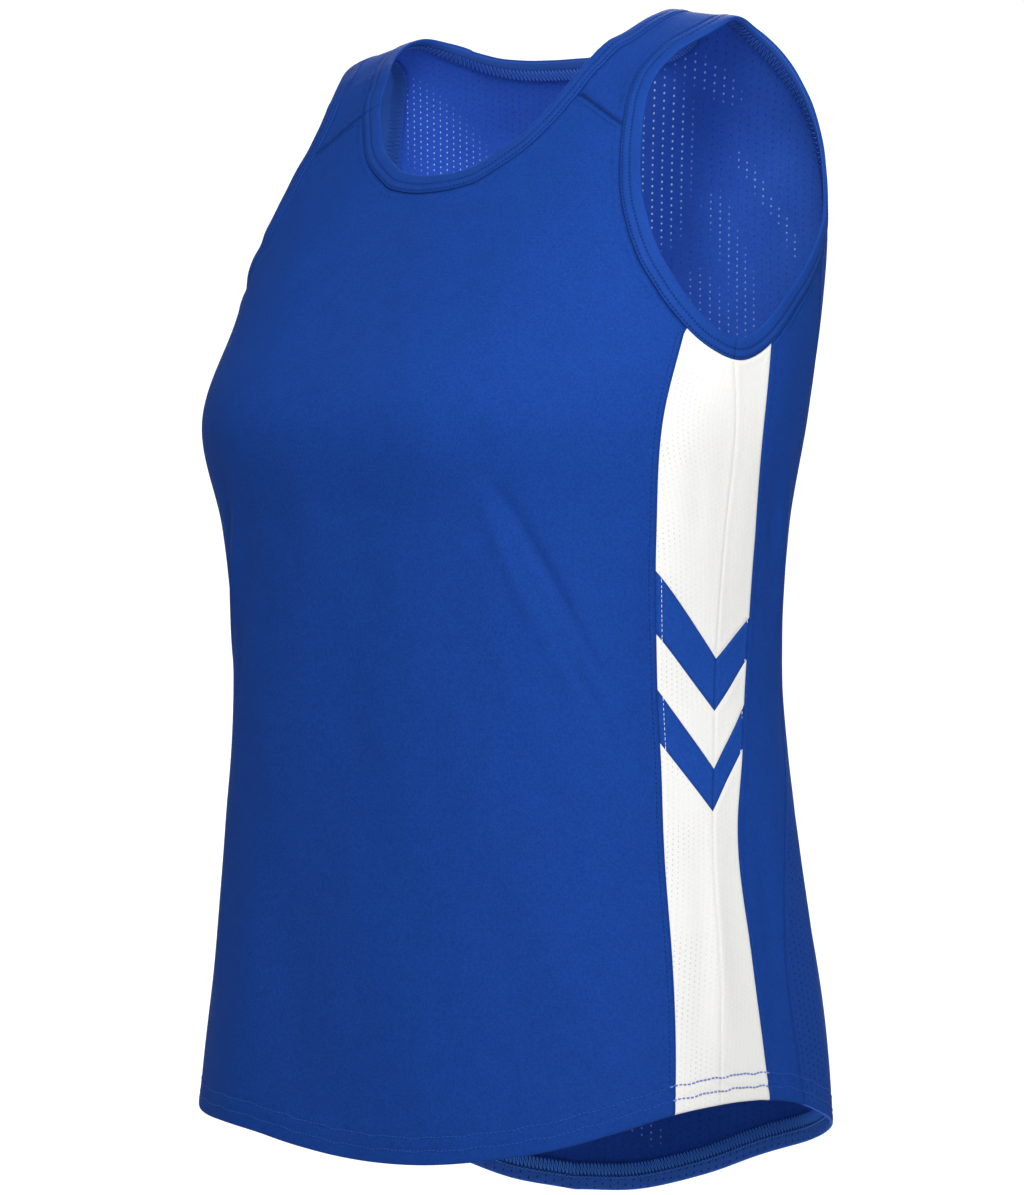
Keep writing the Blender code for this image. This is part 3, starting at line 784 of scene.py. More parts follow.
def make_knit(name, colour):
    """Smooth, close blue knit with fine ribs, a slight mottle, and painted shade along its seams and under
    its hem's looper threads.
    """
    recipe = Recipe(name, 0.66, 0.012, 0.0, 0.25)
    u, v = recipe.grain()
    height = loops(u, v, WALE, COURSE)
    mottle = recipe.noise(800.0, 4.0, 0.65) * 0.85 + recipe.noise(90.0, 2.0) * 0.15
    tone = recipe.ramp(mottle + height * 0.05, 0.30, 0.76)
    recipe.feed("Base Color", recipe.sewn(recipe.mix(tone, shade(colour, 0.84), shade(colour, 1.16))))
    recipe.feed("Roughness", recipe.ramp(mottle, 0.2, 0.8, 0.58, 0.68))
    recipe.bump(height * 0.11 + recipe.noise(2400.0, 2.0) * 0.06 + recipe.puckers(), 0.00060, 0.60)
    return recipe.material


def make_blue_mesh(name, colour):
    """Blue eyelet mesh: staggered columns of eyelets, painted as dark pits of shade outside and as light dots
    inside, with painted light on the inner face and painted shade along its seams.
    """
    recipe = Recipe(name, 0.68, 0.012, 0.0, 0.5)
    u, v = recipe.grain()
    away = from_hole(BLUE_EYELETS, u, v)
    radius = BLUE_EYELETS.radius
    eyelet_light_and_shade = recipe.mark("eyelet_light_and_shade")
    inside_face = recipe.mark("inner")
    hollow = recipe.ramp(away, radius * 0.6, radius * 2.2)
    uneven = recipe.noise(210.0, 2.0) * 0.9 + 0.5
    # Painted light dots where light would come through the eyelets, and painted shade in their dark pits
    light = recipe.ramp(away, radius * 0.75, radius * 1.15, 1.0, 0.0) * eyelet_light_and_shade.most(0.0) * uneven.least(1.0)
    dark = recipe.ramp(away, radius * 0.60, radius * 1.30, 1.0, 0.0) * (eyelet_light_and_shade * -1.0).most(0.0)
    height = loops(u, v, WALE * 1.2, COURSE * 1.16) * 0.4 + hollow * eyelet_light_and_shade.size() * 1.2
    mottle = recipe.noise(800.0, 4.0, 0.65) * 0.85 + recipe.noise(60.0, 2.0) * 0.15
    tone = recipe.ramp(mottle + height * 0.05, 0.30, 0.78)
    outer = recipe.mix(tone, shade(colour, 0.84), shade(colour, 1.16))
    # The inner face in a lighter colour, less low down: painted light
    inner = recipe.mix(tone, shade(ROYAL_INSIDE_PAINTED_LIGHT, 0.86), shade(ROYAL_INSIDE_PAINTED_LIGHT, 1.14))
    cloth = recipe.mix(dark * 0.8, recipe.mix(inside_face, outer, inner), shade(colour, 0.25))
    recipe.feed("Base Color", recipe.sewn(recipe.mix(light * 0.9, cloth, shade(LIGHT_DOT, 1.0))))
    recipe.feed("Roughness", recipe.ramp(mottle, 0.2, 0.8, 0.60, 0.70))
    recipe.bump(height * 0.35 + recipe.puckers(), 0.00060, 0.6)
    return recipe.material


def make_white_mesh(name):
    """White eyelet mesh, backed: its holes are painted as soft grey dots of shade, most by the front seam,
    with painted shade along its seams.
    """
    recipe = Recipe(name, 0.70, 0.12, 0.03, 0.2)
    u, v = recipe.grain()
    away = from_hole(WHITE_EYELETS, u, v)
    radius = WHITE_EYELETS.radius
    patchy = recipe.ramp(recipe.noise(38.0, 2.0), 0.35, 0.65, 0.25, 1.0)
    # Painted shade in the eyelets, strongest by the front seam
    dot = recipe.ramp(away, radius * 0.7, radius * 1.4, 0.62, 0.0) * recipe.mark("eyelet_light_and_shade") * patchy
    hollow = recipe.ramp(away, radius * 0.7, radius * 2.2)
    rib = (u * (2 * pi / WHITE_EYELETS.column)).sine() * 0.5 + 0.5
    height = hollow * 0.5 * patchy + rib * 0.15 * patchy + loops(u, v, WALE, COURSE) * 0.30
    tone = recipe.ramp(recipe.noise(700.0, 4.0, 0.6) * 0.6 + rib * 0.12, 0.2, 0.7)
    plain = recipe.mix(tone, shade(WHITE, 0.955), shade(WHITE, 1.02))
    # Painted shade along the seams
    painted_shade = recipe.mark("painted_shade") * recipe.noise(330.0, 2.0) * 0.25
    dotted = recipe.mix(dot, plain, shade(PAINTED_SHADE_GREY, 1.0))
    recipe.feed("Base Color", recipe.mix(painted_shade, dotted, shade(PAINTED_SHADE_GREY, 1.1)))
    recipe.feed("Roughness", recipe.ramp(height, 0.3, 1.4, 0.72, 0.60))
    recipe.bump(height * 0.22 + recipe.puckers(), 0.00060, 0.55)
    return recipe.material


def make_binding_cloth(name, colour):
    """Folded knit binding with needle pits along its two rows of stitching, painted shade in the pits, rows,
    join and under the looper threads, and painted light on its inner face.
    """
    recipe = Recipe(name, 0.62, 0.03, 0.0, 0.2)
    u, v = recipe.grain()
    off_row = (v - BINDING_ROWS[0]).size().least((v - BINDING_ROWS[1]).size())
    in_row = recipe.ramp(off_row, 0.00030, 0.00075, 1.0, 0.0)
    beat = ((u / BINDING_PITCH).part() - 0.5).size()
    pit = in_row * recipe.ramp(beat, 0.30, 0.44)
    pulled = recipe.ramp(off_row, 0.0002, 0.0016, 1.0, 0.0) * recipe.ramp(beat, 0.10, 0.50)
    height = loops(v, u, WALE, COURSE) * 0.35 - pit * 1.2 - pulled * 0.9
    mottle = recipe.noise(900.0, 3.0) * 0.6 + recipe.noise(30.0, 2.0) * 0.4
    inside_face = recipe.mark("inner")
    outer = recipe.mix(recipe.ramp(mottle, 0.30, 0.75), shade(colour, 0.88), shade(colour, 1.14))
    # The inner face in the lighter inside colour: painted light
    cloth = recipe.mix(inside_face, outer, shade(ROYAL_INSIDE_PAINTED_LIGHT, 1.0))
    # Painted shade in the needle pits and rows, at the join and under the looper threads
    painted_darkening = (pit * 0.55 + in_row * 0.12).least(0.85) * (1.0 - inside_face) + recipe.mark("painted_shade") * 0.32
    recipe.feed("Base Color", recipe.mix(painted_darkening.least(0.9), cloth, shade(colour, 0.18)))
    recipe.feed("Roughness", recipe.ramp(mottle, 0.2, 0.8, 0.56, 0.66))
    recipe.bump(height + recipe.noise(2400.0, 2.0) * 0.3, 0.00016, 0.6)
    return recipe.material


def make_thread(name, colour):
    """Sewing thread: fine twisted filament with small changes of tone."""
    recipe = Recipe(name, 0.55, 0.06, 0.0)
    place = recipe.node("ShaderNodeTexCoord", None, None, "Object")
    twist = recipe.node("ShaderNodeTexWave", {"bands_direction": "DIAGONAL"},
                        {"Vector": place, "Scale": 900.0, "Distortion": 2.0, "Detail": 1.0}, "Fac")
    tone = recipe.ramp(twist * 0.7 + recipe.noise(1500.0, 2.0) * 0.3, 0.2, 0.8)
    recipe.feed("Base Color", recipe.mix(tone, shade(colour, 0.78), shade(colour, 1.12)))
    recipe.bump(twist, 0.00006, 0.5)
    return recipe.material


# Each finish: its material, the record's slot it stands for and its cloth's thickness
Finish = namedtuple("Finish", "material slot thickness")
BLUE_KNIT = Finish(make_knit("royal_knit", ROYAL), "blue_knit", KNIT)
BAND_KNIT = Finish(make_knit("royal_band_knit", ROYAL_BAND), "blue_knit", KNIT)
BLUE_MESH = Finish(make_blue_mesh("royal_eyelet_mesh", ROYAL_MESH), "blue_mesh", MESH)
WHITE_MESH = Finish(make_white_mesh("white_eyelet_mesh"), "white_mesh", MESH)
BINDING = Finish(make_binding_cloth("royal_binding", ROYAL_BINDING), "blue_binding", KNIT)


def thread(name, colour, slot):
    """A finish for sewing thread."""
    return Finish(make_thread(name, colour), slot, THREAD)


HEM_THREAD = thread("light_blue_thread", (0.0180, 0.0830, 0.3650), "blue_knit")
DEEP_THREAD = thread("royal_thread", (0.0090, 0.0450, 0.2500), "blue_binding")
BRIGHT_THREAD = thread("bright_blue_thread", (0.1000, 0.3400, 1.0000), "blue_binding")
BINDING_THREAD = thread("binding_blue_thread", (0.0550, 0.1650, 0.7000), "blue_binding")
DARK_THREAD = thread("dark_blue_thread", (0.0040, 0.0220, 0.1350), "blue_knit")
INSIDE_THREAD = thread("inside_blue_thread", (0.0340, 0.1180, 0.4900), "blue_binding")
SOFT_THREAD = thread("soft_blue_thread", (0.2000, 0.2500, 0.5600), "blue_knit")
WHITE_THREAD = thread("white_thread", (0.900, 0.905, 0.900), "white_mesh")
DEEP_KNIT = Finish(make_thread("royal_overlock_edge", ROYAL), "blue_knit", KNIT)



SHARP_ANGLE = radians(50)


def place_piece(name, points, faces, finish, measure=None, marks=None):
    mesh = bpy.data.meshes.new(name)
    mesh.from_pydata(np.asarray(points).tolist(), [], [tuple(face) for face in faces])
    mesh.update()
    piece = bpy.data.objects.new(name, mesh)
    bpy.context.scene.collection.objects.link(piece)
    mesh.materials.append(finish.material)
    if measure is not None:
        corners = np.empty(len(mesh.loops), int)
        mesh.loops.foreach_get("vertex_index", corners)
        layer = mesh.uv_layers.new(name="grain")
        layer.data.foreach_set("uv", np.asarray(measure, float)[corners].ravel())
    for mark, values in (marks or {}).items():
        mesh.attributes.new(mark, "FLOAT", "POINT").data.foreach_set("value", values)
    mesh.shade_smooth()
    mesh.set_sharp_from_angle(angle=SHARP_ANGLE)
    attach(piece, "root")
    return piece


# The cloth's rise beside a seam (down at it, up beside it, down under a row of stitching) and
# above the hem's edge (down at each row, full between), metres
Rise = namedtuple("Rise", "where width height")
SEAM_ROLL = [Rise(0.0, 0.0009, -0.00050), Rise(0.0020, 0.0009, 0.00020), Rise(0.0034, 0.0008, -0.00012)]
HEM_ROLL = [Rise(HEM_ROWS[0], ROW_EASE, -0.00022), Rise(HEM_ROWS[1], ROW_EASE, -0.00026),
            Rise(0.0092, 0.0022, 0.00022), Rise(0.0025, 0.0018, 0.00016)]


def rolled(rises, away):
    """The sum of a table's rises at each distance."""
    return sum(rise.height * bell(away - rise.where, rise.width) for rise in rises)


def outline_of(*lines):
    """A closed outline from (line, is_hem) stretches, and which of its edges are hem."""
    return (np.concatenate([line[:-1] for line, _ in lines]),
            np.concatenate([np.full(len(line) - 1, is_hem) for line, is_hem in lines]))


def other_half(lines, centre):
    """The same stretches reflected to the other side, in reverse order."""
    return [(mirrored(line, centre), is_hem) for line, is_hem in reversed(lines)]


def crease_lines(middle):
    """Flat points along the narrow creases, in lines close together, and how far each reaches."""
    lines = []
    for crease in CREASES:
        if crease.width > FINE_CREASE:
            continue
        start = flat([(crease.around + 360 * round((middle - crease.around) / 360), crease.run)])[0]
        reach, length = crease_reach(crease)
        beyond = 1.2 * crease.width / length
        part = np.linspace(-beyond, 1 + beyond, ceil(length * (1 + 2 * beyond) / EDGE_STEP) + 1)
        bow = crease.bow * 4 * np.clip(part, 0, 1) * (1 - np.clip(part, 0, 1))
        across = np.array([reach[1], -reach[0]]) / length
        for i, line in enumerate(CREASE_LINES):
            along = part + (0.5 if i % 2 else 0.0) * (part[1] - part[0])
            lines.append(start + along[:, None] * reach + (bow + line * crease.width)[:, None] * across)
    return np.concatenate(lines)


def apart(points, others, least):
    """The points that lie at least a distance from all the others."""
    near = [np.min(np.linalg.norm(others - point, axis=1)) for point in points]
    return points[np.array(near) > least]


def well_inside(points, edge, least):
    """The flat points inside a closed flat outline, at least a distance from all its edges."""
    points = points[inside(points, edge)]
    return points[distance_to(points, edge, np.ones(len(edge), bool)) > least]


def filled(rim, hems, step):
    """Places and triangles that fill a closed outline, closer together by its seams and hem."""
    edge = flat(rim)
    rings = [well_inside(flat(inset(rim, distance)), edge, 0.8 * distance) for distance in SEAM_RINGS]
    if hems.any():
        hem = rim[hems | np.roll(hems, 1)]
        for row in HEM_ROWS:
            for above in (row - ROW_EASE, row, row + ROW_EASE):
                rings.append(well_inside(flat(hem - [0.0, above]), edge, SEAM_RINGS[-1] + ROW_CLEARANCE))
    low = edge.min(axis=0)
    high = edge.max(axis=0)
    count = np.ceil((high - low) / step).astype(int)
    grid = np.stack(np.meshgrid(np.linspace(low[0], high[0], count[0] + 1),
                                np.linspace(low[1], high[1], count[1] + 1)), axis=-1).reshape(-1, 2)
    grid[:, 0] += np.where(np.arange(len(grid)) // (count[0] + 1) % 2, step / 2, 0.0)
    grid = well_inside(grid, edge, SEAM_RINGS[-1] + 0.5 * step)
    folds = well_inside(crease_lines(rim[:, 0].mean()), edge, SEAM_RINGS[-1] + FOLD_CLEARANCE)
    if hems.any():
        grid = grid[distance_to(grid, edge, hems) > HEM_ROWS[-1] + ROW_EASE + 0.5 * step]
        folds = folds[distance_to(folds, edge, hems) > HEM_ROWS[-1] + ROW_EASE + FOLD_CLEARANCE]
    if len(folds):
        grid = apart(grid, folds, 0.55 * step)
        rings.append(folds)
    points = [Vector(point) for point in np.concatenate([edge, *rings, grid])]
    edges = [(i, (i + 1) % len(rim)) for i in range(len(rim))]
    laid, _, triangles, _, _, _ = delaunay_2d_cdt(points, edges, [], 1, 1e-7)
    return unflat(np.array([tuple(point) for point in laid])), np.array([tuple(face) for face in triangles])


def in_order(hems):
    """The outline's points along the hem, one after another."""
    count = len(hems)
    start = next(i for i in range(count) if hems[i] and not hems[i - 1])
    chain = [start]
    while hems[chain[-1]]:
        chain.append((chain[-1] + 1) % count)
    return np.array(chain)


def turned_up(places, middles, normals, lift, measure, chain):
    """Rows of the hem, round its fold and up the inside: middles, normals and flat measures."""
    around = places[chain, 0]
    run = places[chain, 1]
    out = normals[chain]
    edge = middles[chain]
    up = unit(worn(around, run - 0.001) - worn(around, run))
    rows = []
    for turn in HEM_TURNS:
        arm_out = cos(turn) * out - sin(turn) * up
        rows.append((edge + HEM_RADIUS * (arm_out - out), arm_out, measure[chain] + [0.0, HEM_RADIUS * turn]))
    for height in HEM_INSIDE:
        middle = worn(around, run - height, lift[chain] - 2 * HEM_RADIUS)
        laid = measure[chain] + [0.0, HEM_RADIUS * pi + height]
        rows.append((middle, -outward(around, run - height), laid))
    return rows


def thicken(middles, normals, triangles, thickness):
    """A closed wall of cloth from its middle: points and faces."""
    a, b, c = triangles.T
    facing = np.einsum("ij,ij->i", np.cross(middles[b] - middles[a], middles[c] - middles[a]),
                       normals[a] + normals[b] + normals[c])
    triangles = np.where((facing < 0)[:, None], triangles[:, ::-1], triangles)
    count = len(middles)
    edges = np.concatenate([triangles[:, [0, 1]], triangles[:, [1, 2]], triangles[:, [2, 0]]])
    keys = np.sort(edges, axis=1) @ [count, 1]
    _, first, uses = np.unique(keys, return_index=True, return_counts=True)
    a, b = edges[first[uses == 1]].T
    walls = np.concatenate([np.stack([b, a, a + count], axis=1), np.stack([b, a + count, b + count], axis=1)])
    faces = np.concatenate([triangles, triangles[:, ::-1] + count, walls])
    points = np.concatenate([middles + normals * thickness / 2, middles - normals * thickness / 2])
    return points, faces.tolist()


# How the sewing marks the cloth: seams pull harder and get more painted shade on the upper part,
# above UPPER_RUN, and the hem's inside gets painted shade under its looper threads
UPPER_RUN = 0.200
UPPER_FADE = 0.006
UNDER_LOOPS = 0.62
UNDER_LOOPS_MARGIN = 0.0008
# How far the insert's painted shade dots show from its front seam, and how much painted light the inner face
# gets, less low down
DOTS_REACH = 0.022
DOTS_LEAST = 0.15
DOTS_ON_HEM = 0.2
INNER_LEAST = 0.12
INNER_RUN = 0.25
INNER_FADE = 0.06
CLEAR_OF_SEAM = 0.0030


def sewing_marks(places, away, above):
    """How much painted shade each place gets by the seams' grooves, and how much the sewing draws it."""
    upper = 1 / (1 + np.exp((np.abs(places[:, 1]) - UPPER_RUN) / UPPER_FADE))
    painted_shade = (0.30 + 0.40 * upper) * bell(away, 0.0008)
    drawn = bell(away - 0.0022, 0.0026) * (0.35 + 1.10 * upper)
    for row in HEM_ROWS:
        drawn = np.maximum(drawn, 0.8 * bell(above - row, 0.0020))
    return painted_shade, drawn


def sew_panel(name, node, outline, finish, from_back=False, seam=None):
    """A panel of cloth with rolled seams and a turned-up hem, which stands for a node."""
    rim, hems = outline
    rim = inset(rim, PANEL_GAP / 2)
    places, triangles = filled(rim, hems, CLOTH_STEP)
    measure = GRAIN.laid(places, from_back)
    edge = measure[:len(rim)]
    away = distance_to(measure, edge, ~hems)
    above = distance_to(measure, edge, hems) if hems.any() else np.full(len(places), 1.0)
    share = 1.0 if seam is None else INSERT_ROLL
    lift = CLOTH_LIFT + rolled(SEAM_ROLL, away) * share + rolled(HEM_ROLL, above)
    middles = worn(*places.T, lift)
    normals = outward(*places.T)
    painted_shade, drawn = sewing_marks(places, away, above)
    turned = [np.zeros(0)]
    if hems.any():
        chain = in_order(hems)
        last = chain
        for middle, normal, laid in turned_up(places, middles, normals, lift, measure, chain):
            new = np.arange(len(middle)) + len(middles)
            a, b, c, d = last[:-1], last[1:], new[1:], new[:-1]
            triangles = np.concatenate([triangles, np.stack([a, b, c], axis=1), np.stack([a, c, d], axis=1)])
            middles = np.concatenate([middles, middle])
            normals = np.concatenate([normals, normal])
            turned.append(laid[:, 1] - measure[chain, 1])
            measure = np.concatenate([measure, laid])
            last = new
    points, faces = thicken(middles, normals, triangles, finish.thickness)
    extra = np.concatenate(turned)
    # Painted shade on the hem's inside, under its looper threads
    under_loops = np.where(extra > HEM_RADIUS * pi + HEM_ROWS[0] + UNDER_LOOPS_MARGIN, UNDER_LOOPS, 0.0)
    marks = {"painted_shade": np.concatenate([painted_shade, under_loops]), "drawn": np.concatenate([drawn, extra * 0.0])}
    marks = {mark: np.concatenate([values, values]) for mark, values in marks.items()}
    measures = np.concatenate([measure, measure])
    # The white insert's eyelets: painted shade dots, strongest by the front seam
    if seam is not None:
        beyond = np.abs(GRAIN.from_front(places[:, 0], places[:, 1]))
        beyond = beyond - GRAIN.from_front(seam_around(seam, places[:, 1]), places[:, 1])
        shown = DOTS_LEAST + (1 - DOTS_LEAST) * bell(beyond, DOTS_REACH)
        shown = np.concatenate([shown, np.full(len(extra), DOTS_ON_HEM)])
        marks["eyelet_light_and_shade"] = np.concatenate([shown, shown])
    # The back's eyelets: painted dark pits of shade outside, painted light dots and pits inside, kept off the
    # seams, and painted light on the inner face, less low down
    if from_back:
        clear = 1 - np.exp(-(away / CLEAR_OF_SEAM) ** 4)
        outer = np.where(places[:, 1] < 0, STRAP_PITS, -1.0) * clear
        inner = glints(places[:, 0], places[:, 1]) * clear
        marks["eyelet_light_and_shade"] = np.concatenate([outer, np.full(len(extra), -1.0), inner, np.full(len(extra), -1.0)])
        fading = 1 + np.exp((np.abs(places[:, 1]) - INNER_RUN) / INNER_FADE)
        inside_light = INNER_LEAST + (1 - INNER_LEAST) / fading
        folded = np.full(len(extra), HEM_FACE)
        marks["inner"] = np.concatenate([np.zeros(len(places)), folded, inside_light, folded])
        back = slice(len(middles), len(middles) + len(places))
        measures[back] = plumb_columns(points[back])
    piece = place_piece(name, points, faces, finish, measures, marks)
    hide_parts(node)
    size = measure.max(axis=0) - measure.min(axis=0)
    share = areas(middles, triangles).sum() / (size[0] * size[1])


def areas(points, triangles):
    """The area of each triangle."""
    a, b, c = points[triangles[:, 0]], points[triangles[:, 1]], points[triangles[:, 2]]
    return np.linalg.norm(np.cross(b - a, c - a), axis=1) / 2


class Track:
    """A line of sewing on the worn cloth, with directions along it, across it and out."""

    def __init__(self, places, side=1, closed=False):
        self.closed = closed
        self.places = places
        self.centre = worn(*places.T)
        self.out = outward(*places.T)
        self.across = side * unit(np.cross(self.out, direction(self.centre, closed)))
        self.length = lengths_along(self.shut(self.centre))

    def shut(self, rows):
        """Rows kept at the track's points, with the first again at the end of a closed track."""
        return np.concatenate([rows, rows[:1]]) if self.closed else rows

    def read(self, rows, where):
        """Values of rows kept at the track's points, read at lengths along it."""
        where = where % self.length[-1] if self.closed else where
        return read_along(where, self.length, self.shut(rows))

    def at(self, where, across, up):
        """Points at lengths along the track, moved across it and out of the cloth."""
        across = np.broadcast_to(across, np.shape(where))[:, None]
        up = np.broadcast_to(up, np.shape(where))[:, None]
        return (self.read(self.centre, where) + across * self.read(self.across, where)
                + up * self.read(self.out, where))


def beside(places, distance, closed=False):
    """A line of places moved sideways over the cloth by a distance."""
    centre = surface(*places.T)
    move = distance * unit(np.cross(outward(*places.T), direction(centre, closed)))
    turn = TINY_STEP / ARC_PER_DEGREE
    by_turn = (surface(places[:, 0] + turn, places[:, 1]) - centre) / turn
    by_run = (surface(places[:, 0], places[:, 1] + TINY_STEP) - centre) / TINY_STEP
    aa, ar, rr = (np.sum(p * q, axis=1) for p, q in [(by_turn, by_turn), (by_turn, by_run), (by_run, by_run)])
    ma, mr = np.sum(move * by_turn, axis=1), np.sum(move * by_run, axis=1)
    scale = aa * rr - ar * ar
    return places + pairs((ma * rr - mr * ar) / scale, (mr * aa - ma * ar) / scale)


def swept(track, profile, rise=0.0, more=0.0):
    """A strip with one profile of (across, up) all along a track: points, faces and flat measures."""
    stations = len(track.centre)
    rise = rise + np.zeros(stations)
    more = more + np.zeros(stations)
    rings = []
    for out, up in profile:
        wider = out + more * np.clip(out / SWELL_FROM - 1, 0, 1)
        raised = up + rise * (up > 0)
        rings.append(track.centre + wider[:, None] * track.across + raised[:, None] * track.out)
    outs = np.array([out for out, _ in profile])
    measure = pairs(np.repeat(track.length[:stations], len(outs)), np.tile(outs, stations))
    points, faces = skin(rings, track.closed)
    return points, facing_out(points, faces), measure


def skin(rails, closed=False):
    """The closed form between lines that run side by side round it, capped at its ends unless they meet."""
    points = np.stack(rails, axis=1).reshape(-1, 3)
    stations = len(rails[0])
    sides = len(rails)
    i, j = np.meshgrid(np.arange(stations if closed else stations - 1), np.arange(sides), indexing="ij")
    after = (i + 1) % stations * sides
    k = (j + 1) % sides
    faces = np.stack([i * sides + j, i * sides + k, after + k, after + j], axis=-1).reshape(-1, 4).tolist()
    if not closed:
        faces += [list(range(sides))[::-1], list(range(len(points) - sides, len(points)))]
    return points, faces


def facing_out(points, faces):
    """The faces of a closed form, turned so that they face outwards."""
    volume = 0.0
    for face in faces:
        a = points[face[0]]
        for b, c in zip(face[1:-1], face[2:]):
            volume += a @ np.cross(points[b], points[c])
    return faces if volume > 0 else [face[::-1] for face in faces]


def tube(path, out, radius):
    """A four-sided thread along a path of points: points and faces."""
    side = unit(np.cross(out, direction(path, False)))
    return skin([path + radius * side, path + radius * out, path - radius * side, path - radius * out])


def together(parts):
    """Several (points, faces) as one."""
    points = []
    faces = []
    count = 0
    for part_points, part_faces in parts:
        points.append(part_points)
        faces += [[index + count for index in face] for face in part_faces]
        count += len(part_points)
    return np.concatenate(points), faces


# A needle stitch's rings, as shares of its length and of the thread: place along it, depth and width
StitchRing = namedtuple("StitchRing", "place sink width")
STITCH_RINGS = [StitchRing(*row) for row in [
    (-0.495, 1.3, 0.6), (-0.275, 0.0, 1.0), (0.275, 0.0, 1.0), (0.495, 1.3, 0.6),
]]
STITCH_SIDES = 6


def stitch_shape():
    """One needle stitch, bent down into the cloth at both ends: points and faces."""
    rails = []
    for turn in 2 * pi / STITCH_SIDES * np.arange(STITCH_SIDES):
        rails.append(np.array([(ring.place * STITCH, ring.width * THREAD * cos(turn),
                                -(ring.width * sin(turn) + ring.sink) * THREAD) for ring in STITCH_RINGS]))
    points, faces = skin(rails)
    # The straight middle's quads start a corner later, so that they split along the other diagonal
    middle = slice(STITCH_SIDES, 2 * STITCH_SIDES)
    faces[middle] = [face[1:] + face[:1] for face in faces[middle]]
    return points, facing_out(points, faces)


NEEDLE_STITCH = stitch_shape()


def stitched(track, pitch, across, up, start=0.0, stretch_by=1.0, size=1.0):
    """Needle stitches at a pitch along a track: points and faces."""
    points, faces = NEEDLE_STITCH
    count = int((track.length[-1] - start) / pitch)
    where = start + (np.arange(count) + 0.5) * pitch
    where = where + 0.05 * pitch * np.sin(where * 2100.0)
    along = unit(track.at(where + pitch / 8, across, up) - track.at(where - pitch / 8, across, up))
    out = unit(track.read(track.out, where))
    beside_it = np.cross(out, along)
    centre = track.at(where, across, up)
    laid = (centre[:, None] + points[None, :, 0:1] * stretch_by * along[:, None]
            + points[None, :, 1:2] * size * beside_it[:, None] + points[None, :, 2:3] * size * out[:, None])
    copies = [[index + i * len(points) for index in face] for i in range(count) for face in faces]
    return laid.reshape(-1, 3), copies


def looped(track, pitch, low, high, up, phase, radius=THREAD, slant=0.0):
    """A looper thread that swings between two rows of stitching: points and faces."""
    count = int(track.length[-1] / pitch)
    pitch = track.length[-1] / count
    turn = 2 * pi * np.arange(count * LOOPER_SAMPLES + 1) / LOOPER_SAMPLES
    where = turn / (2 * pi) * pitch + slant * pitch * np.cos(turn + phase)
    where = np.clip(where, 0.0, track.length[-1] * (1 - 1e-6))
    across = (low + high) / 2 + (high - low) / 2 * np.cos(turn + phase)
    rise = up + 0.00014 * np.sin(2 * turn + phase) * np.sign(up if up else 1.0)
    return tube(track.at(where, across, rise), track.read(track.out, where), radius)


def front_half(side):
    """The front panel's edge on one side, from the hem's centre to the neck's, as left places."""
    insert = insert_seam("insert_front", ARMHOLE[ARM_AT_INSERT_FRONT], side)
    return [(hem_line(0.0, insert[-1][0], side), True), (insert[::-1], False),
            (arm(ARM_AT_INSERT_FRONT, ARM_AT_SHOULDER_SEAM), False), (shoulder_seam(), False),
            (over_ridge(stretch(NECK, NECK_AT_SHOULDER_SEAM, 0)), False)]


def make_front():
    """The front panel."""
    outline = outline_of(*front_half(LEFT), *other_half(front_half(RIGHT), 0.0))
    sew_panel("front_panel_cloth", "front_panel", outline, BLUE_KNIT)


def back_seam_end(side):
    """The back panel's seam on one side, from the armhole to the hem."""
    return seam_line("back_panel", np.array(ARMHOLE[ARM_AT_BACK_SEAM]), hem_corner("back_panel", side))


def make_back():
    """The back panel, which comes over both shoulders to the forward seams."""
    left = back_seam_end(LEFT)
    right = back_seam_end(RIGHT)
    upper = [(arm(ARM_AT_BACK_SEAM, len(ARMHOLE) - 1), False),
             (over_ridge(arm(0, ARM_AT_SHOULDER_SEAM)), False),
             (over_ridge(shoulder_seam()), False),
             (stretch(NECK, NECK_AT_SHOULDER_SEAM, len(NECK) - 1), False)]
    angles = np.linspace(360.0 - right[-1][0], left[-1][0], 240)
    hem = evenly(pairs(angles, hem_run(angles)))
    outline = outline_of((left[::-1], False), *upper, *other_half(upper, 180.0),
                         (mirrored(right[::-1], 180.0), False), (hem, True))
    sew_panel("back_panel_cloth", "back_panel", outline, BLUE_MESH, from_back=True)


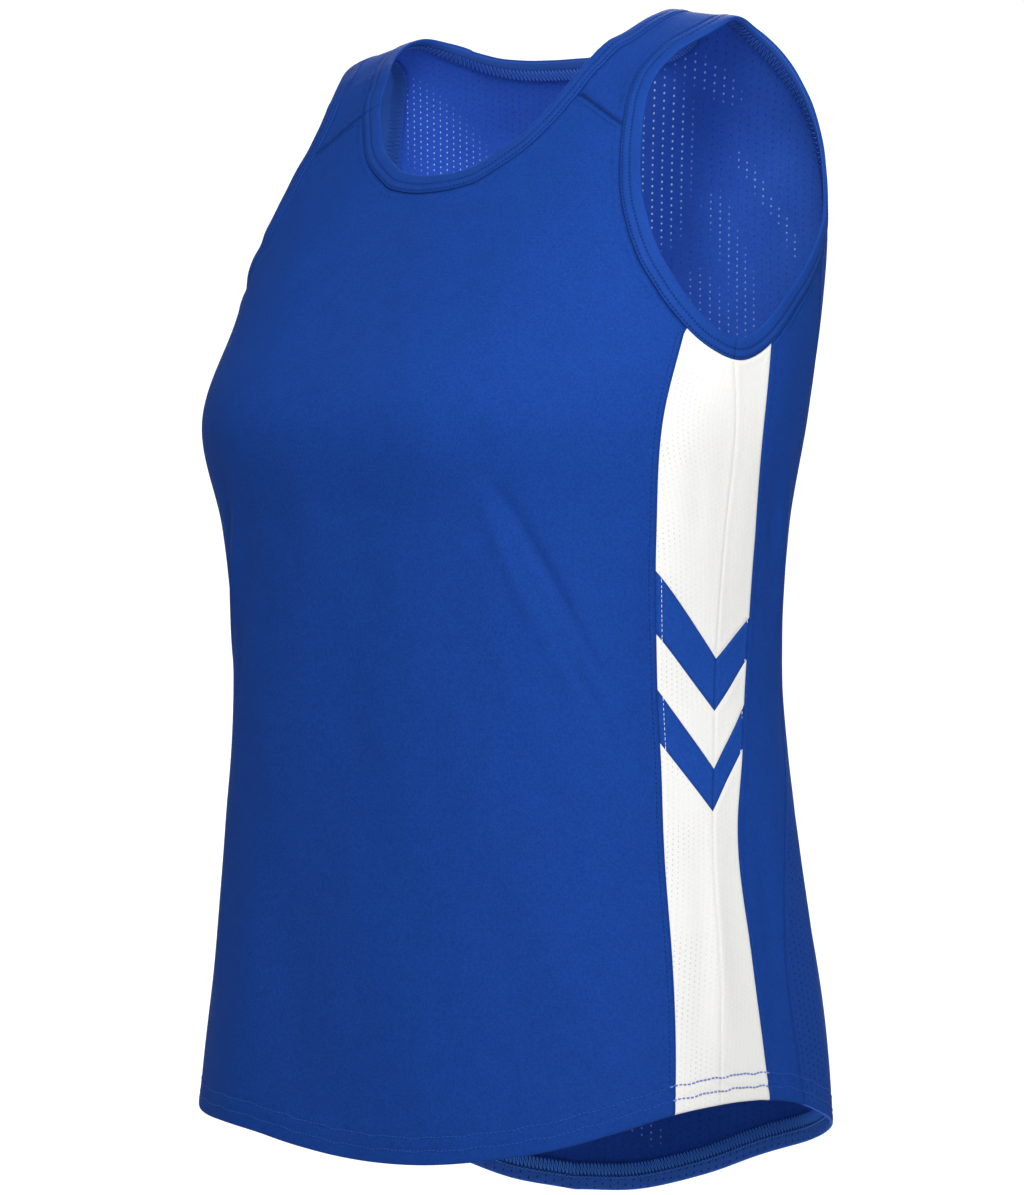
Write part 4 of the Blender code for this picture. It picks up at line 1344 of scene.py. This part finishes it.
def make_side(name, side):
    """One side's insert and side back panel."""
    front_levels = seam_levels("insert_front", ARMHOLE[ARM_AT_INSERT_FRONT], side)
    side_levels = seam_levels("side", ARMHOLE[ARM_AT_SIDE_SEAM], side)
    back_levels = seam_levels("insert_back", ARMHOLE[ARM_AT_INSERT_BACK], side)
    halves = [("front", "insert_front", front_levels, side_levels, "side",
               ARM_AT_INSERT_FRONT, ARM_AT_SIDE_SEAM),
              ("back", "side", side_levels, back_levels, "insert_back",
               ARM_AT_SIDE_SEAM, ARM_AT_INSERT_BACK)]
    for half, near_seam, near, far, far_seam, arm_near, arm_far in halves:
        for i, part in enumerate(INSERT_PARTS):
            top = arm(arm_near, arm_far) if i == 0 else straight(near[i], far[i])
            last = i == len(INSERT_PARTS) - 1
            bottom = hem_line(far[-1][0], near[-1][0], side) if last else straight(far[i + 1], near[i + 1])
            stretches = [(top, False), (seam_line(far_seam, far[i], far[i + 1]), False), (bottom, last),
                         (seam_line(near_seam, near[i], near[i + 1])[::-1], False)]
            outline = outline_of(*[(on_side(line, side), is_hem) for line, is_hem in stretches])
            node = f"insert_{half}_{name}_{part}"
            blue = part.startswith("blue")
            sew_panel(f"{node}_cloth", node, outline, BAND_KNIT if blue else WHITE_MESH,
                      seam=None if blue else "insert_front")
    insert = insert_seam("insert_back", ARMHOLE[ARM_AT_INSERT_BACK], side)
    seam = back_seam_end(side)
    stretches = [(arm(ARM_AT_INSERT_BACK, ARM_AT_BACK_SEAM), False), (seam, False),
                 (hem_line(seam[-1][0], insert[-1][0], side), True), (insert[::-1], False)]
    outline = outline_of(*[(on_side(line, side), is_hem) for line, is_hem in stretches])
    sew_panel(f"side_back_{name}_cloth", f"side_back_{name}", outline, BLUE_KNIT)


# The folded binding's profile from the inner flap round its free edge to the seam, millimetres:
# across from the seam into the opening, and up from the solids' inner face
BINDING_PROFILE = [
    (-2.20, -0.12), (-2.25, -0.40), (-2.15, -0.62), (0.30, -0.60), (3.00, -0.62), (5.40, -0.60),
    (5.90, -0.60), (9.40, -0.56), (10.40, -0.42), (10.90, -0.05), (11.00, 0.35), (10.95, 0.80),
    (10.65, 1.22), (10.00, 1.48), (8.00, 1.66), (6.40, 1.74), (5.70, 1.66), (5.20, 1.44),
    (4.70, 1.66), (3.20, 1.80), (2.00, 1.74), (1.60, 1.58), (1.30, 1.38), (1.00, 1.52),
    (0.60, 1.50), (0.22, 1.22), (0.15, 0.60), (0.10, -0.06),
]

# Which of the profile counts as the inner face, painted lighter, and how far across it the looper threads
# lie, with painted shade under them
INNER_LEVEL = -0.38
LOOPED_TO = 5.5

# Where a binding swells past SWELL_FROM: its middle, its reach and the most added, metres.  One
# binding has a wider flap, and one gets no painted shade under its looper threads.
Swell = namedtuple("Swell", "around run reach more")
SWELLS = {"neck_binding": Swell(207.0, -0.060, 0.032, 0.0017),
          "arm_binding_right": Swell(-134.0, 0.037, 0.024, 0.0010)}
SWELL_FROM = 0.0055
FLAPS = {"arm_binding_left": 0.0035}
LOOP_SHADE = {"arm_binding_right": 0.0}
LOOP_PITCH = 0.0025
# A binding's dip at its join: distance along from the join and how far it sinks; and the painted shade there
JOIN_GROOVE = [(-0.0011, 0.0), (-0.0004, -0.00028), (0.0, -0.00046), (0.0004, -0.00028), (0.0011, 0.0)]
JOIN_SHADE = [0.0, 0.5, 1.0, 0.5, 0.0]


def with_join(loop, at):
    """A closed loop of places with extra ones close about a join."""
    laid = flat(loop)
    nearest = int(np.argmin(np.linalg.norm(laid - flat([at])[0], axis=1)))
    loop = np.roll(loop, -nearest, axis=0)
    laid = flat(loop)
    ahead = unit(laid[1] - laid[0])
    behind = unit(laid[-1] - laid[0])
    extra = [unflat((laid[0] + (ahead if where > 0 else behind) * abs(where))[None])[0]
             for where, _ in JOIN_GROOVE]
    return np.concatenate([extra[2:], loop[1:], extra[:2]])


def make_binding(name, loop, side, join):
    """A folded strip sewn round an opening, with its two needle rows and inner looper threads."""
    track = Track(with_join(loop, join), side, closed=True)
    where = track.length[:-1]
    uneven = 0.00007 * np.sin(where * 2 * pi / 0.021) + 0.00006 * np.sin(where * 2 * pi / 0.034 + 1.0)
    total = track.length[-1]
    grooves, depths = zip(*JOIN_GROOVE)
    from_join = (where + total / 2) % total - total / 2
    rise = uneven + np.interp(from_join, grooves, depths, left=0.0, right=0.0)
    profile = np.array(BINDING_PROFILE)
    flap = FLAPS.get(name, 0.0)
    profile[:3, 0] -= flap * 1000
    swell = SWELLS.get(name, Swell(0.0, 0.0, 1.0, 0.0))
    far = np.linalg.norm(flat(track.places) - flat([(swell.around, swell.run)]), axis=1)
    points, faces, measure = swept(track, profile / 1000, rise, swell.more * bell(far, swell.reach))
    # Painted light on the inner face; painted shade under the looper threads and at the join
    inner = (profile[:, 1] < INNER_LEVEL) * 1.0
    looped_part = inner * (profile[:, 0] < LOOPED_TO) * LOOP_SHADE.get(name, 1.0)
    in_join = np.interp(from_join, grooves, JOIN_SHADE, left=0.0, right=0.0)
    shaded = np.maximum(np.tile(looped_part, len(where)), np.repeat(in_join, len(profile)))
    marks = {"inner": np.tile(inner, len(where)), "painted_shade": shaded}
    piece = place_piece(f"{name}_cloth", points, faces, BINDING, measure, marks)
    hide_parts(name)
    rows = [stitched(track, BINDING_PITCH, row, up, size=0.9, stretch_by=0.8)
            for row, up in zip(BINDING_ROWS, (0.00150, 0.00156))]
    needle = place_piece(f"{name}_needle_rows", *together(rows), DEEP_THREAD)
    band = looped(track, LOOP_PITCH, -0.0016 - flap, BINDING_ROWS[1], -0.00085, 0.0, LOOPER)
    looper = place_piece(f"{name}_looper_threads", *band,
                         INSIDE_THREAD if name in LOOP_SHADE else BINDING_THREAD)


def trimmed(line, start, end):
    """A line of places without its first and last stretches, in metres."""
    lengths = lengths_along(GRAIN.laid(line, False))
    wanted = np.linspace(start, lengths[-1] - end, max(3, int(lengths[-1] / EDGE_STEP)))
    return read_along(wanted, lengths, line)


ALLOWANCE_PROFILE = [(-0.0008, -0.00010), (-0.0009, -0.00045), (-0.0004, -0.00080), (0.0015, -0.00098),
                     (0.0035, -0.00092), (0.0048, -0.00060), (0.0050, -0.00020), (0.0040, 0.00010),
                     (0.0015, 0.00008)]
ALLOWANCE_FROM_BINDING = 0.0032
ALLOWANCE_FROM_HEM = 0.0150


def make_allowances(name, lines):
    """Overlocked seam allowances inside the top, pressed to one side of their seams."""
    tracks = [Track(trimmed(line, from_start, from_end), side) for line, side, from_start, from_end in lines]
    threads = [looped(track, 0.0026, 0.0004, 0.0050, -0.00112, 0.0) for track in tracks]
    strips = [swept(track, ALLOWANCE_PROFILE)[:2] for track in tracks]
    place_piece(f"{name}_allowances", *together(strips), DEEP_KNIT)
    place_piece(f"{name}_overlock_threads", *together(threads), DEEP_THREAD)


def side_lines(side):
    """The long seams of one side, from armhole to hem, as places of that side."""
    seams = {"insert_front": ARM_AT_INSERT_FRONT, "side": ARM_AT_SIDE_SEAM, "insert_back": ARM_AT_INSERT_BACK,
             "back_panel": ARM_AT_BACK_SEAM}
    lines = {}
    for seam, place in seams.items():
        line = seam_line(seam, np.array(ARMHOLE[place]), hem_corner(seam, side))
        lines[seam] = on_side(line, side)
    return lines


# The insert's rows of stitching: seam, distance behind it, lift, and length and width as shares
InsertRow = namedtuple("InsertRow", "seam distance lift length size")
INSERT_ROWS = [InsertRow("insert_front", -0.0034, 0.0, 1.0, 0.9),
               InsertRow("insert_front", 0.0028, 0.0, 1.25, 0.85),
               InsertRow("insert_back", -0.0016, -0.00006, 1.0, 0.75)]
ROW_FROM_BINDING = 0.003
ROW_FROM_HEM = 0.013


def make_seam_sewing(name, side):
    """Topstitching of one side's insert, and the allowances inside."""
    lines = side_lines(side)
    out = CLOTH_LIFT + KNIT / 2
    front, near, far = (
        stitched(Track(trimmed(beside(lines[seam], side * distance), ROW_FROM_BINDING, ROW_FROM_HEM)),
                 STITCH_PITCH, 0.0, out + lift, stretch_by=length, size=size)
        for seam, distance, lift, length, size in INSERT_ROWS)
    place_piece(f"front_seam_row_{name}", *front, DARK_THREAD)
    place_piece(f"insert_white_rows_{name}", *together([near, far]), WHITE_THREAD)
    strips = [(line, -side, ALLOWANCE_FROM_BINDING, ALLOWANCE_FROM_HEM) for line in lines.values()]
    make_allowances(f"long_seam_{name}", strips)


def make_shoulder_sewing():
    """Rows on each side of both shoulder seams, and their allowances."""
    rows = []
    strips = []
    for side in SIDES.values():
        seam = on_side(shoulder_seam(), side)
        for distance, lift in ((0.0030, 0.0), (-0.0015, -0.00006)):
            line = trimmed(beside(seam, side * distance), 0.001, 0.001)
            rows.append(stitched(Track(line), STITCH_PITCH, 0.0, CLOTH_LIFT + KNIT / 2 + lift, size=0.85))
        strips.append((seam, -side, ALLOWANCE_FROM_BINDING, ALLOWANCE_FROM_BINDING))
    place_piece("shoulder_seam_rows", *together(rows), DARK_THREAD)
    make_allowances("shoulder_seam", strips)


def hem_spans():
    """Stretches of the hem round the top, as start and end angles and whether each is white."""
    left, right = ([hem_corner(seam, side)[0] for seam in ("insert_front", "insert_back")]
                   for side in (LEFT, RIGHT))
    return [(-right[0], left[0], False), (left[0], left[1], True),
            (left[1], 360.0 - right[1], False), (360.0 - right[1], 360.0 - right[0], True)]


def make_hem_sewing():
    """The hem's two needle rows outside, and its looper threads inside."""
    angles = np.linspace(-180.0, 180.0, 1441)[:-1]
    edge = pairs(angles, hem_run(angles))
    sample = Track(edge, closed=True)
    lower_is_up = np.sign(np.mean(sample.across[:, 2]))
    out = CLOTH_LIFT + KNIT / 2 - 0.00012
    rows = {False: [], True: []}
    for start, end, on_white in hem_spans():
        part = np.linspace(start, end, max(8, int((end - start) * 4)))
        line = pairs(part, hem_run(part))
        turn = np.radians(part)
        for height in HEM_ROWS:
            wobble = 0.00028 * np.sin(41 * turn + height * 900) + 0.00020 * np.sin(77 * turn + height * 2000)
            track = Track(beside(line, lower_is_up * (height + wobble)[:, None]))
            length, size = (1.35, 2.0) if on_white else (1.20, 1.4)
            rows[on_white].append(stitched(track, STITCH_PITCH, 0.0, out, stretch_by=length, size=size))
    place_piece("hem_needle_rows", *together(rows[False]), HEM_THREAD)
    place_piece("hem_needle_rows_on_white", *together(rows[True]), SOFT_THREAD)
    centre = sum(HEM_ROWS) / 2
    middle = Track(beside(edge, lower_is_up * centre, closed=True), closed=True)
    inside_face = CLOTH_LIFT - 2 * HEM_RADIUS - KNIT / 2 - LOOPER
    reach = [lower_is_up * (height - centre) for height in HEM_LOOPS]
    band = looped(middle, STITCH_PITCH, *reach, inside_face, 0.0, LOOPER * 0.9, 0.40)
    low = Track(beside(edge, lower_is_up * HEM_ROWS[0], closed=True), closed=True)
    chain = looped(low, STITCH_PITCH, -0.0004, 0.0004, inside_face, 0.0, THREAD * 0.8)
    place_piece("hem_looper_threads", *together([band, chain]), BRIGHT_THREAD)


# Floor, light and camera
FLOOR_DROP = 1.40
FLOOR_RADIUS = 5.4
LIGHT_AIM = (0.0, 0.0, -0.28)
ROOM_LIGHT = 0.43
BACK_LIGHT = 1.15
BRIGHT_PATCH = (0.93, 0.98)
Lamp = namedtuple("Lamp", "name turn rise distance width power")
LAMPS = [Lamp("key", 42.0, 32.0, 1.2, 0.45, 8.9), Lamp("side", 62.0, 12.0, 1.2, 0.45, 3.3),
         Lamp("back", 215.0, 35.0, 2.4, 1.4, 55.0)]
CAMERA_TURN = radians(44.0)
CAMERA_SHIFT = 0.0021
CAMERA_DISTANCE = 2.35
CAMERA_SIDEWAYS = 0.018
CAMERA_HEIGHT = -0.2977
FRAME_HEIGHT = 1195
PIXELS_PER_METRE = 1930
SENSOR = 36.0


def make_stage():
    """A plain pale floor."""
    bpy.ops.object.select_all(action="DESELECT")
    bpy.ops.mesh.primitive_circle_add(vertices=128, radius=FLOOR_RADIUS, fill_type="NGON",
                                      location=(0.0, 0.0, -FLOOR_DROP))
    floor = bpy.context.active_object
    floor.name = "floor"
    bpy.ops.object.transform_apply(location=True)
    recipe = Recipe("pale_floor", 0.8, 0.2, 0.0)
    tone = recipe.ramp(recipe.noise(3.0, 2.0), 0.3, 0.7)
    recipe.feed("Base Color", recipe.mix(tone, (0.80, 0.80, 0.80, 1.0), (0.82, 0.82, 0.82, 1.0)))
    floor.data.materials.append(recipe.material)


def make_light(name, place, aim, width, power):
    """A soft square light that looks at a point."""
    lamp = bpy.data.lights.new(name, "AREA")
    lamp.size = width
    lamp.energy = power
    light = bpy.data.objects.new(name, lamp)
    light.location = place
    light.rotation_euler = (Vector(aim) - Vector(place)).to_track_quat("-Z", "Y").to_euler()
    light.visible_camera = False
    bpy.context.scene.collection.objects.link(light)


def make_surroundings():
    """A pale room, brightest on the far side of the top."""
    world = bpy.data.worlds.new("pale_room")
    room = Nodes(world, "Background")
    looked = room.node("ShaderNodeTexCoord", None, None, "Generated")
    aim = (-sin(CAMERA_TURN), cos(CAMERA_TURN), 0.0)
    toward = room.node("ShaderNodeVectorMath", {"operation": "DOT_PRODUCT"}, {0: looked, 1: aim}, "Value")
    room.feed("Strength", room.ramp(toward, *BRIGHT_PATCH, ROOM_LIGHT, BACK_LIGHT))
    room.shader.inputs["Color"].default_value = (1.0, 1.0, 1.0, 1.0)
    bpy.context.scene.world = world
    bpy.context.scene.view_settings.view_transform = "Standard"


def from_round(turn, rise, distance):
    """A place at degrees round from the front towards the wearer's left, and degrees above level."""
    turn = radians(turn)
    rise = radians(rise)
    return Vector((sin(turn) * cos(rise), -cos(turn) * cos(rise), sin(rise))) * distance + Vector(LIGHT_AIM)


def make_lights():
    """Soft lamps: a near one above the camera, a lower one by its right, and one behind."""
    for lamp in LAMPS:
        place = from_round(lamp.turn, lamp.rise, lamp.distance)
        make_light(lamp.name, place, LIGHT_AIM, lamp.width, lamp.power)


def make_camera():
    """The camera, at the height of the chest and turned towards the wearer's left."""
    camera = bpy.data.cameras.new("camera")
    camera.sensor_fit = "VERTICAL"
    camera.sensor_height = SENSOR
    camera.sensor_width = SENSOR
    camera.lens = PIXELS_PER_METRE * CAMERA_DISTANCE / FRAME_HEIGHT * SENSOR
    camera.shift_y = CAMERA_SHIFT
    camera.clip_end = 50.0
    holder = bpy.data.objects.new("camera", camera)
    holder.location = (CAMERA_DISTANCE * sin(CAMERA_TURN) - CAMERA_SIDEWAYS * cos(CAMERA_TURN),
                       -CAMERA_DISTANCE * cos(CAMERA_TURN) - CAMERA_SIDEWAYS * sin(CAMERA_TURN),
                       CAMERA_HEIGHT)
    holder.rotation_euler = (pi / 2, 0.0, CAMERA_TURN)
    bpy.context.scene.collection.objects.link(holder)
    bpy.context.scene.camera = holder


make_stage()
make_surroundings()
make_lights()
make_camera()
make_front()
make_back()
for side_name, side_sign in SIDES.items():
    make_side(side_name, side_sign)
    make_seam_sewing(side_name, side_sign)
make_binding("neck_binding", neck_loop(), 1, mirrored(over_ridge(shoulder_seam()[-1:]), 180.0)[0])
make_binding("arm_binding_left", arm_loop(), 1, ARMHOLE[ARM_AT_SIDE_SEAM])
make_binding("arm_binding_right", on_side(arm_loop(), RIGHT), -1,
             on_side(np.array([ARMHOLE[ARM_AT_SIDE_SEAM]]), RIGHT)[0])
make_shoulder_sewing()
make_hem_sewing()
